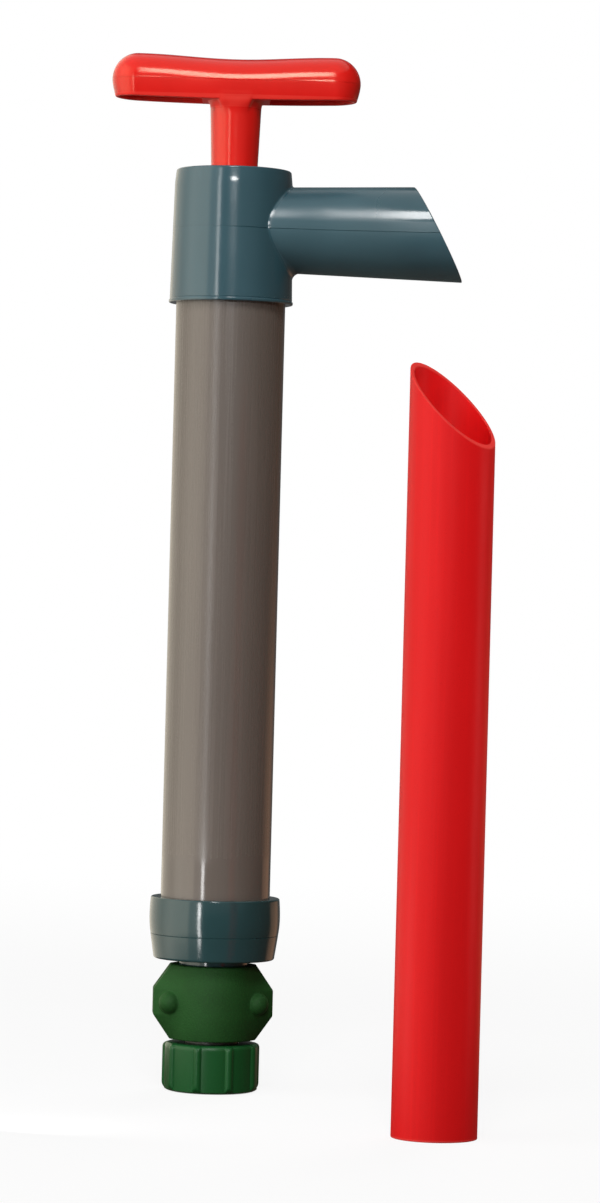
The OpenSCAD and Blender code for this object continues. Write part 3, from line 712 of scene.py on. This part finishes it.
# T-handle: the hollow bar on its flared stem
handle = {
    "crease": 390.4, "underside": 383.6, "sag": 0.9, "rise": 10.2, "dip": 1.5,
    "domeLean": 1, "midLean": 9,        # degrees that the crown leans, and how much more in the middle
    "tipLoss": 2.0, "endRound": 10.0, "ledge": 0.1, "draft": 0.7, "endDraft": 1.3, "rimRound": 0.5,
    "wall": 2.6, "pocketFrom": 13.2, "pocketSlope": 1.2, "pocketDeep": 8.5,
    "stemLow": 352.3, "stemLowRadius": 8.85, "stemTopRadius": 10.0, "tail": 6.1,
    "flare": 1.1, "flareLow": 3.0, "climbFrom": 0.72, "climbTo": 0.90, "climbDrop": 3.0,
    "tongueProud": 0.08, "tongueSink": 0.2, "tongueLow": 0.8, "tongueHigh": 4.5,
}


def makeHandle(h):
    low, high = nodeBox("t_handle")
    half, hump = high[0], high[0] - h["endRound"]

    def halfDepth(x):
        return high[1] - h["tipLoss"] / 2 * (x / half) ** 2

    def under(x):
        return h["underside"] - h["sag"] * (1 - (x / half) ** 2)

    def nearMiddle(x):
        return (1 + cos(pi * min(1, x / hump))) / 2

    def topRise(x):
        return h["rise"] - h["dip"] * nearMiddle(x)

    # rows from the middle of the underside, over the front face, to the middle of the top;
    # a row's number is an inset, an angle in degrees or, on the wall, a share of its height
    wall, rim = h["wall"], h["rimRound"]
    roofEdge = wall + 1.2
    rows = [("roof", 0), ("roof", roofEdge), ("roof", wall + 0.7), ("roofSide", wall + 0.4),
            ("side", wall + 0.2), ("rim", wall), ("rim", wall - 0.3), ("rimOut", 0.15)]
    rows += [("round", a) for a in (0, 18, 36, 54, 72, 90)]
    rows += [("wall", t) for t in (0.12, 0.25, 0.4, 0.55, 0.7, 0.85, 0.94, 0.98)]
    rows += [("dome", a) for a in (0, 1.5, 4, 8, 13, 19, 26, 34, 42, 50, 58, 66, 74, 82, 90)]
    straight, bend = 44, 22     # columns along the bar and round its end

    def barPlace(column, row):
        kind, value = rows[row]
        turn = max(0, column - straight) / bend * pi / 2
        ledge = h["ledge"] * cos(turn)
        lean = h["draft"] + (h["endDraft"] - h["draft"]) * sin(turn) ** 2
        if kind == "round":
            inset = ledge + lean + rim * (1 - sin(radians(value)))
        elif kind == "rimOut":
            inset = ledge + lean + rim + value
        elif kind == "wall":        # leans out to the crease, which stands proud by a hair
            inset = ledge + lean * (1 - value) ** 1.6
        elif kind == "dome":
            inset = 0.0
        else:
            inset = value if row else roofEdge
        x = hump * min(1, column / straight) + (h["endRound"] - inset) * sin(turn)
        y = (halfDepth(x) - inset) * cos(turn) * (row > 0)
        base = under(x)
        pocket = h["pocketFrom"]
        hollow = smoothStep(pocket, pocket + h["pocketSlope"], x) * h["pocketDeep"]
        if kind == "roof":
            z = base + hollow
        elif kind == "roofSide":
            z = base + max(0, hollow - 0.6)
        elif kind == "side":
            z = base + min(0.7, hollow)
        elif kind in ("rim", "rimOut"):
            z = base + (min(0.25, hollow) if value == wall else 0)
        elif kind == "round":
            z = base + rim * (1 - cos(radians(value)))
        elif kind == "wall":
            z = base + rim + (h["crease"] - base - rim) * value
        else:
            tilt = radians(h["domeLean"] + h["midLean"] * nearMiddle(x))
            a = tilt + (pi / 2 - tilt) * value / 90
            y *= cos(a) / cos(tilt)
            lift = topRise(x) * cos(turn) * (sin(a) - sin(tilt))
            z = h["crease"] + lift / (1 - sin(tilt))
        return x, -y, z

    piece = wrapGrid("tHandle", straight + bend, len(rows) - 1, barPlace)
    applyModifier(piece, "MIRROR", use_axis=(True, True, False), merge_threshold=0.004 * mm)
    tidyMesh(piece)

    # stem, flaring into the bar's underside at its sides and into its faces at front and back
    around, flareRows, tongueRows = 144, 14, 8
    tailLow = low[2]
    start = under(0) - h["flareLow"]

    def stemRadius(z):
        share = (z - h["stemLow"]) / (h["underside"] - h["stemLow"])
        return h["stemLowRadius"] + (h["stemTopRadius"] - h["stemLowRadius"]) * share

    foot, footRadius, tail = h["stemLow"], h["stemLowRadius"], h["tail"]
    plain = [(0, tailLow), (tail - 0.5, tailLow), (tail, tailLow + 0.5), (tail, foot - 0.2),
             (tail + 0.1, foot), (footRadius - 0.5, foot), (footRadius - 0.15, foot + 0.15),
             (footRadius, foot + 0.5)]
    plain += [(stemRadius(z), z) for z in (foot + 1, 360, 368, 374)]
    flareFrom = len(plain)
    tongueFrom = flareFrom + flareRows
    lidFrom = tongueFrom + tongueRows + 1
    lid = ((8, under(0) + 5), (0, under(0) + 5))        # closes the stem inside the bar

    def faceOut(z):
        share = min(1, max(0, (z - under(0) - rim) / (h["crease"] - under(0) - rim)))
        return halfDepth(0) - h["ledge"] - h["draft"] * (1 - share) ** 1.6

    def stemPlace(column, row):
        turn = tau * column / around
        s = abs(sin(turn))
        if row < flareFrom:
            r, z = plain[row]
        elif row < lidFrom:
            climb, slant = smoothStep(h["climbFrom"], h["climbTo"], s), max(s, 0.6)
            z0 = start - h["climbDrop"] * climb
            p0 = Vector((stemRadius(z0), z0))
            reach = stemRadius(h["underside"]) + h["flare"]
            high3 = under(0) + 0.04 + h["tongueLow"] * climb
            flush = (faceOut(high3) + h["tongueProud"]) / slant
            p3 = Vector((reach + (flush - reach) * climb, high3))
            lean = radians(90) * climb
            p1 = p0 + Vector((0.03, 1)) * (p3.y - p0.y) * 0.5
            p2 = p3 - Vector((cos(lean), sin(lean))) * (0.55 * (p3.x - p0.x) + 1.6 * climb)
            t = (row - flareFrom) / flareRows
            if t <= 1:
                r, z = (p0 * (1 - t) ** 3 + p1 * 3 * t * (1 - t) ** 2
                        + p2 * 3 * t * t * (1 - t) + p3 * t ** 3)
            else:       # tongue that dies away into the bar's face
                t = (row - tongueFrom) / tongueRows
                z = p3.y + (0.5 + (h["tongueHigh"] - 0.5) * climb) * t
                sunk = faceOut(z) + h["tongueProud"] - (h["tongueProud"] + h["tongueSink"]) * t * t
                r = (p3.x - 0.8 * t * t) * (1 - climb) + sunk / slant * climb
        else:
            r, z = lid[row - lidFrom]
        return r * cos(turn), r * sin(turn), z

    stem = wrapGrid("stem", around, lidFrom + 1, stemPlace)
    combine(piece, stem, "UNION")
    smoothShade(piece, 34)
    finishPiece(piece, "plunger", "handle_plastic", "t_handle")


makeHandle(handle)


# plunger rod, a pipe that closes on the stem's tail and on the end plug
rod = {"bore": 6.15, "edge": 0.5, "pinRadius": 1.5, "pinHole": 1.55, "pinReach": 12}


def makeRod(r):
    low, high = nodeBox("plunger_rod")
    corners = ringCorners(r["bore"], high[1], low[2], high[2], r["edge"])
    piece = lathe("plungerRod", roundCorners(corners), steps=120)
    pinZ = nodeBox("handle_pin")[0][2] + r["pinRadius"]
    hole = plugOutline(r["pinHole"], -r["pinReach"], r["pinReach"])
    pinHole = lathe("pinHole", hole, "X", (0, 0, pinZ), 48)
    combine(piece, pinHole, "DIFFERENCE")
    smoothShade(piece)
    finishPiece(piece, "plunger", "rod_pipe", "plunger_rod")


makeRod(rod)


# turned and moulded rings that show round the rod and in the coupling
rings = {
    "rodGuideBush": {"node": "rod_guide_bush", "body": "barrel", "slot": "acetal",
                     "bore": 8.02, "edge": 0.6, "steps": 120},
    "rodWiperSeal": {"node": "rod_wiper_seal", "body": "barrel", "slot": "rubber",
                     "bore": 7.95, "edge": 0.5, "steps": 120},
    "hoseWasher": {"node": "hose_washer", "body": "coupling", "slot": "rubber",
                   "bore": 8.0, "edge": 0.5, "steps": 120},
}
for ringName, ring in rings.items():
    makeRing(ringName, ring)


# barbed stem that the nut swivels on
couplingStem = {
    "bore": 7.6, "flange": 14.4, "neck": 10.25, "neckTop": 23.3,
    "barbs": 4, "barbOut": 10.4, "barbIn": 9.45,
}


def makeCouplingStem(s):
    low, high = nodeBox("coupling_stem")
    corners = [(s["bore"], low[2], 0.3), (high[0], low[2], 0.4), (high[0], s["flange"], 0.4),
               (s["neck"], s["flange"], 0.5), (s["neck"], s["neckTop"], 0.2)]
    pitch = (high[2] - s["neckTop"]) / s["barbs"]
    for k in range(s["barbs"]):
        z = s["neckTop"] + pitch * k
        corners += [(s["barbIn"], z + 0.3, 0), (s["barbOut"], z + 0.5, 0.1), (s["barbIn"], z + pitch, 0)]
    corners += [(s["bore"], high[2], 0.3)]
    piece = lathe("couplingStem", roundCorners(corners), steps=144)
    smoothShade(piece)
    finishPiece(piece, "barrel", "acetal", "coupling_stem")


makeCouplingStem(couplingStem)


# swivel nut with grip ribs and a hose thread
nut = {
    "radius": 18.0, "lowRound": 3.3, "topRound": 1.6, "wallRows": 34,
    "ribs": 9, "ribRadius": 1.1, "ribHalf": 1.6, "firstRib": 14.0, "ribTop": 16.2,
    "threadBore": 13.4, "threadTop": 8.4, "pocket": 13.0, "pocketTop": 14.5, "lip": 10.55,
    "pitch": 2.2, "threadDeep": 0.8, "threadFrom": 0.5, "turns": 3,
}


def makeNut(n):
    top, radius, lowRound = nodeBox("coupling_nut")[1][2], n["radius"], n["lowRound"]
    roundIn = radius + n["ribRadius"] - lowRound

    def lowLimit(z):
        return roundIn + sqrt(max(0, lowRound ** 2 - max(0, lowRound - z) ** 2))

    wallLow = lowRound - sqrt(lowRound ** 2 - (radius - roundIn) ** 2)
    corners = [(n["threadBore"] + 0.7, 0, 0.2), (roundIn, 0, 0)]
    corners += [(lowLimit(wallLow * t ** 2), wallLow * t ** 2, 0) for t in (0.25, 0.5, 0.75)]
    wallTop, count, curve = top - n["topRound"], n["wallRows"], n["topRound"]
    corners += [(radius, wallLow + (wallTop - wallLow) * k / count, 0) for k in range(count + 1)]
    for a in (22, 45, 68, 90):
        turn = radians(a)
        corners.append((radius - curve * (1 - cos(turn)), wallTop + curve * sin(turn), 0))
    corners += [(n["lip"], top, 0.4), (n["lip"], n["pocketTop"], 0.3), (n["pocket"], n["pocketTop"], 0.3),
                (n["pocket"], n["threadTop"], 0), (n["threadBore"], n["threadTop"], 0),
                (n["threadBore"], 0.7, 0)]
    piece = lathe("couplingNut", roundCorners(corners), steps=540)
    for vertex in piece.data.vertices:
        x, y, z = vertex.co / mm
        r = hypot(x, y)
        if r < radius - near - (curve if z > wallTop else 0):
            continue
        pitch = tau / n["ribs"]
        turn = (atan2(y, x) - radians(n["firstRib"]) + pitch / 2) % pitch - pitch / 2
        share = min(1, abs(turn) * radius / n["ribHalf"])
        lift = n["ribRadius"] * (1 - share * share) ** 0.75
        if z > n["ribTop"]:
            lift *= sqrt(max(0, 1 - ((z - n["ribTop"]) / (top - n["ribTop"])) ** 2))
        grown = min(r + lift, max(r, lowLimit(z)))
        vertex.co.x *= grown / r
        vertex.co.y *= grown / r

    # thread ridge, one tooth wound up by a screw modifier
    p, d, wallIn = n["pitch"], n["threadDeep"], n["threadBore"] + 0.1
    thread = addPlane(mm)
    tooth = [(wallIn, 0), (wallIn - d - 0.1, p * 0.32), (wallIn - d - 0.1, p * 0.46), (wallIn, p * 0.78)]
    for vertex, (r, z) in zip(thread.data.vertices, (tooth[0], tooth[1], tooth[3], tooth[2])):
        vertex.co = Vector((r, 0, z + n["threadFrom"])) * mm
    applyModifier(thread, "SCREW", screw_offset=p * mm, iterations=n["turns"], steps=96, render_steps=96,
                  axis="Z", use_merge_vertices=True, merge_threshold=0.001 * mm)
    tidyMesh(thread)
    pickOnly(piece, thread)
    bpy.ops.object.join()
    smoothShade(piece, 40)
    finishPiece(piece, "coupling", "nut_plastic", "coupling_nut")


makeNut(nut)


# hose clamp: two halves drawn together by screws from the rear
clamp = {
    "split": 0.5, "bore": 13.45, "lipHole": 10.55, "lip": 1.8, "endRadius": 16.55, "belly": 18.45,
    "earOut": 23.1, "earThick": 4.6, "earFlat": 5.0, "webIn": 1.5, "screwAt": 17.6, "bossRadius": 4.25,
    "domeAt": 16.8, "domeOut": 13.6, "domeRound": 4.3, "rearBoss": 8.0, "bossIn": 1, "turn": 4.0,
    "voxel": 0.32, "soften": 5,
    "headRadius": 3.4, "headHigh": 2.2, "shank": 1.5, "shankLong": 17.0, "point": 1.2,
    "slot": (0.9, 1.1), "slotTurn": 0.6,
}


def makeClampHalf(c, name, node, front):
    low, high = nodeBox(node)
    z0, z1 = low[2], high[2]
    mid = (z0 + z1) / 2
    outer, rise = [], 12
    for k in range(2 * rise + 1):
        t = k / rise - 1
        r = c["endRadius"] + (c["belly"] - c["endRadius"]) * (1 - t * t)
        outer.append((r, mid + t * (z1 - z0) / 2))
    inner = [(c["bore"], z1), (c["bore"], z0 + c["lip"]), (c["lipHole"], z0 + c["lip"]), (c["lipHole"], z0)]
    belly = lathe("belly", outer + inner + outer[:1], steps=180)
    editAll(belly)
    bpy.ops.mesh.bisect(plane_co=(0, c["split"] * mm, 0), plane_no=(0, 1, 0),
                        clear_inner=True, use_fill=True)
    leaveEdit()
    tidyMesh(belly)

    # ears: at every height a web leaves the belly on its tangent and ends on the eight-sided outline
    flat, out, end, levels = c["earFlat"], c["earOut"], c["endRadius"], 40

    def webSection(z):
        t = abs(z - mid) / ((z1 - z0) / 2)
        outside = end + (c["belly"] - end) * (1 - t * t)
        width = out - (out - end) * max(0, (abs(z - mid) - flat) / ((z1 - z0) / 2 - flat))
        tip = Vector((width, c["earThick"]))
        lean = atan2(tip.y, tip.x) + acos(min(1, outside / tip.length))
        touch = Vector((cos(lean), sin(lean)))
        core = outside - c["webIn"]
        return [Vector((width, c["split"])), tip, touch * min(outside, tip.length), touch * core,
                Vector((core, c["split"]))]

    def webPlace(side):
        def place(column, row):
            z = z0 + (z1 - z0) * min(levels, max(0, column - 1)) / levels
            section = webSection(z)
            spot = section[row % len(section)]
            if column in (0, levels + 2):
                spot = sum(section, Vector((0, 0))) / len(section)
            return side * spot.x, spot.y, z
        return place

    webs, bosses = [], []
    for side in (-1, 1):
        web = wrapGrid("web", levels + 2, 5, webPlace(side))
        if not front:
            seat, away, wide = c["rearBoss"], c["rearBoss"] + 20, c["bossRadius"]
            spotFace = lathe("spotFace", [(0, seat), (wide, seat), (wide + 0.4, away), (0, away)],
                             "Y", (side * c["screwAt"], 0, mid), 72)
            combine(web, spotFace, "DIFFERENCE")
        webs.append(web)
    root, ball = c["split"] + c["bossIn"], c["domeRound"]
    for side in (-1, 1):
        if front:
            turns = [radians(a) for a in range(0, 90, 5)]
            dome = [(ball * cos(a), c["domeOut"] - ball + ball * sin(a)) for a in turns]
            outline = [(0, root), (ball, root)] + dome + [(0, c["domeOut"])]
        else:
            outline = plugOutline(c["bossRadius"], root, c["rearBoss"])
        bosses.append(lathe("boss", outline, "Y", (side * c["domeAt" if front else "screwAt"], 0, mid), 72))
    pickOnly(belly, *webs, *bosses)
    bpy.ops.object.join()
    belly.name = belly.data.name = name
    belly.rotation_euler = (0, 0, radians(c["turn"] + (180 if front else 0)))
    applyPlace()
    applyModifier(belly, "REMESH", mode="VOXEL", voxel_size=c["voxel"] * mm, use_smooth_shade=True)
    applyModifier(belly, "SMOOTH", factor=0.5, iterations=c["soften"])
    pickOnly(belly)
    bpy.ops.object.shade_smooth()
    finishPiece(belly, "barrel", "clamp_plastic", node)
    return mid


def makeClampScrews(c, mid):
    screws = []
    seat, top = c["rearBoss"], c["rearBoss"] + c["headHigh"]
    tip = top - c["shankLong"] - c["headHigh"]
    shank, out = c["shank"], c["headRadius"]
    corners = [(0, tip, 0), (shank * 0.5, tip, 0), (shank, tip + c["point"], 0.2), (shank, seat, 0),
               (out, seat, 0.2), (out, top - 0.5, 0.6), (1.4, top, 0.8), (0, top, 0)]
    for side in (-1, 1):
        screw = lathe("screw", roundCorners(corners, False), "Y", (side * c["screwAt"], 0, mid), 72)
        deselectAll()
        bpy.ops.mesh.primitive_cube_add(size=1, location=(side * c["screwAt"] * mm, top * mm, mid * mm),
                                        rotation=(0, side * c["slotTurn"], 0))
        slot = bpy.context.object
        slot.scale = (10 * mm, 2 * c["slot"][1] * mm, c["slot"][0] * mm)
        applyPlace()
        combine(screw, slot, "DIFFERENCE")
        screws.append(screw)
    pickOnly(*screws)
    bpy.ops.object.join()
    piece = screws[0]
    piece.name = piece.data.name = "clampScrews"
    piece.rotation_euler = (0, 0, radians(c["turn"]))
    applyPlace()
    smoothShade(piece)
    finishPiece(piece, "barrel", "steel", "clamp_screws")


makeClampHalf(clamp, "clampHalfFront", "clamp_half_front", True)
clampMid = makeClampHalf(clamp, "clampHalfRear", "clamp_half_rear", False)
makeClampScrews(clamp, clampMid)


# loose extension tube with its slant-cut end
tube = {"bore": 14.0, "edge": 0.35, "footEdge": 0.35, "spare": 15}


def makeTube(t):
    low, high = nodeBox("extension_tube")
    x, y = (low[0] + high[0]) / 2, (low[1] + high[1]) / 2
    r, far, foot = (high[0] - low[0]) / 2, high[2] + t["spare"], t["footEdge"]
    corners = [(t["bore"], low[2], foot), (r, low[2], foot), (r, far, 0), (t["bore"], far, 0)]
    piece = lathe("extensionTube", roundCorners(corners), "Z", (x, y, 0), 240)
    cutSlant(piece, tubeCut["point"], tubeCut["normal"], t["edge"])
    smoothShade(piece)
    finishPiece(piece, "extension", "tube_plastic", "extension_tube")


makeTube(tube)


# stage: a white floor and sweep; reflections see a room with a window side on the left and a dark right
stage = {
    "floorSize": 12.0, "floorWhite": (0.9, 0.9, 0.9, 1), "floorGlow": 0.88, "fadeFrom": 0.35, "fadeTo": 1.3,
    "bounce": (0.09, 0.066, 0.052, 1), "fill": 0.05,
    "roomRadius": 2.4, "roomHigh": 3.0, "roomLift": 0.0004, "lowWall": 0.3, "matFrom": 0.12, "matTo": 0.22,
    "roomMat": (0.12, 0.09, 0.07, 1), "roomBack": (0.12, 0.12, 0.12, 1), "windowFar": (1.35, 1.24, 1.03, 1),
    "window": (2.5, 2.35, 2.0, 1), "roomLeft": (1.3, 1.25, 1.15, 1), "roomFront": (0.38, 0.38, 0.39, 1),
    "roomFrontLow": (0.13, 0.13, 0.135, 1), "roomRight": (0.10, 0.055, 0.035, 1),
    "roomSide": (0.75, 0.42, 0.26, 1),
}
lamps = {
    "keyBox": {"place": (-1.27, -0.645, 0.62), "aim": (0, 0, 0.2), "size": (1.3, 1.5), "radiance": 2.1,
               "mirrored": False},
    "edgeStrip": {"place": (-0.715, -1.433, 0.26), "aim": (0, 0, 0.22), "size": (0.14, 1.3), "radiance": 6},
    "lowStrip": {"place": (-0.0664, -0.1456, 0.045), "aim": (0, 0, 0.045), "size": (0.0134, 0.082),
                 "radiance": 14},
    "overheadBox": {"place": (-0.005, -0.96, 1.19), "aim": (0, 0, 0.36), "size": (0.28, 0.44),
                    "radiance": 19},
    "crownLamp": {"place": (0.04, -1.44, 0.675), "aim": (0, 0, 0.35), "size": (0.36, 0.11), "radiance": 30,
                  "shape": "ELLIPSE"},
    "rearBox": {"place": (0.55, 1.30, 1.15), "aim": (0, 0, 0.2), "size": (0.9, 0.7), "radiance": 5.5,
                "mirrored": False},
    "sideBox": {"place": (0.92, 0.10, 0.24), "aim": (0.05, -0.07, 0.2), "size": (0.5, 0.8), "radiance": 0.5,
                "tone": (1, 0.70, 0.55), "mirrored": False},
    "tubeBox": {"place": (0.52, -0.11, 0.16), "aim": (0.0825, -0.16, 0.16), "size": (0.10, 0.36),
                "radiance": 0.42, "spread": 30, "mirrored": False},
}


def seenRays(wire):
    direct, glossy, through = (wire.node("LightPath", out=f"Is {ray} Ray")
                               for ray in ("Camera", "Glossy", "Transmission"))
    return direct + glossy + through


def makeFloor(g):
    # white and softly shadowed where it is seen, and a duller warm white in the light that it throws back
    floor = addPlane(g["floorSize"])
    floor.name = "floor"
    finish, wire = newFinish("floorWhite")
    away = fromCentre(wire).step(g["fadeFrom"], g["fadeTo"])
    glow = wire.node("Emission", {"Color": (1, 1, 1, 1), "Strength": 1.0})
    lit = wire.node("BsdfDiffuse", {"Color": g["floorWhite"]})
    bounce = wire.node("BsdfDiffuse", {"Color": g["bounce"]})
    share = g["floorGlow"] + away * (1 - g["floorGlow"])
    seen = wire.node("MixShader", {0: share, 1: lit, 2: glow})
    mixed = wire.node("MixShader", {0: seenRays(wire), 1: bounce, 2: seen})
    wire.node("OutputMaterial", {"Surface": mixed})
    floor.data.materials.append(finish)


def makeWorld(g):
    world = bpy.data.worlds.new("studio")
    bpy.context.scene.world = world
    wire = emptyTree(world)
    sweep = wire.node("Background", {"Color": (1, 1, 1, 1), "Strength": 1.0})
    fill = wire.node("Background", {"Color": (1, 1, 1, 1), "Strength": g["fill"]})
    mixed = wire.node("MixShader", {0: seenRays(wire), 1: fill, 2: sweep})
    wire.node("OutputWorld", {"Surface": mixed})


def makeRoom(g):
    # a round room that only reflections see, open at the top
    deselectAll()
    bpy.ops.mesh.primitive_circle_add(vertices=96, radius=g["roomRadius"], fill_type="TRIFAN",
                                      location=(0, 0, g["roomLift"]))
    room = bpy.context.object
    room.name = "room"
    applyPlace()
    editAll(room)
    selectEdges(room, lambda e: e.is_boundary)
    bpy.ops.mesh.extrude_region_move(TRANSFORM_OT_translate={"value": (0, 0, g["roomHigh"])})
    leaveEdit()
    finish, wire = newFinish("roomPaint")
    turn = wire.sum("ARCTAN2", axisOf(wire, "X"), axisOf(wire, "Y") * -1) * (180 / pi)
    high = axisOf(wire, "Z").step(0, g["lowWall"])
    front = blend(wire, high, g["roomFrontLow"], g["roomFront"])
    side = blend(wire, high, g["roomSide"], g["roomRight"])
    tone = g["roomBack"]
    walls = [(-172, -162, g["windowFar"]), (-110, -80, g["window"]), (-48, -43, g["roomLeft"]),
             (-28, -22, front), (20, 75, g["roomRight"]), (112, 122, side), (140, 155, g["roomBack"])]
    for start, end, nextTone in walls:      # degrees from the front, to the right
        tone = blend(wire, turn.step(start, end), tone, nextTone)
    tone = blend(wire, fromCentre(wire).step(g["matFrom"], g["matTo"]), g["roomMat"], tone)
    glow = wire.node("Emission", {"Color": tone, "Strength": 1.0})
    wire.node("OutputMaterial", {"Surface": glow})
    room.data.materials.append(finish)
    room.visible_camera = room.visible_diffuse = room.visible_shadow = False


def addLamp(name, settings):
    place, (wide, high) = Vector(settings["place"]), settings["size"]
    turn = (Vector(settings["aim"]) - place).to_track_quat("-Z", "Y").to_euler()
    bpy.ops.object.light_add(type="AREA", location=place, rotation=turn)
    lamp = bpy.context.object
    lamp.name = name
    lamp.data.shape = settings.get("shape", "RECTANGLE")
    lamp.data.size, lamp.data.size_y = wide, high
    lamp.data.energy = settings["radiance"] * pi * wide * high
    lamp.data.color = settings.get("tone", (1, 1, 1))
    lamp.data.spread = radians(settings.get("spread", 180))
    lamp.visible_glossy = settings.get("mirrored", True)
    lamp.visible_camera = False


makeFloor(stage)
makeWorld(stage)
makeRoom(stage)
for lampName, lampSettings in lamps.items():
    addLamp(lampName, lampSettings)
print("stage and lights set")
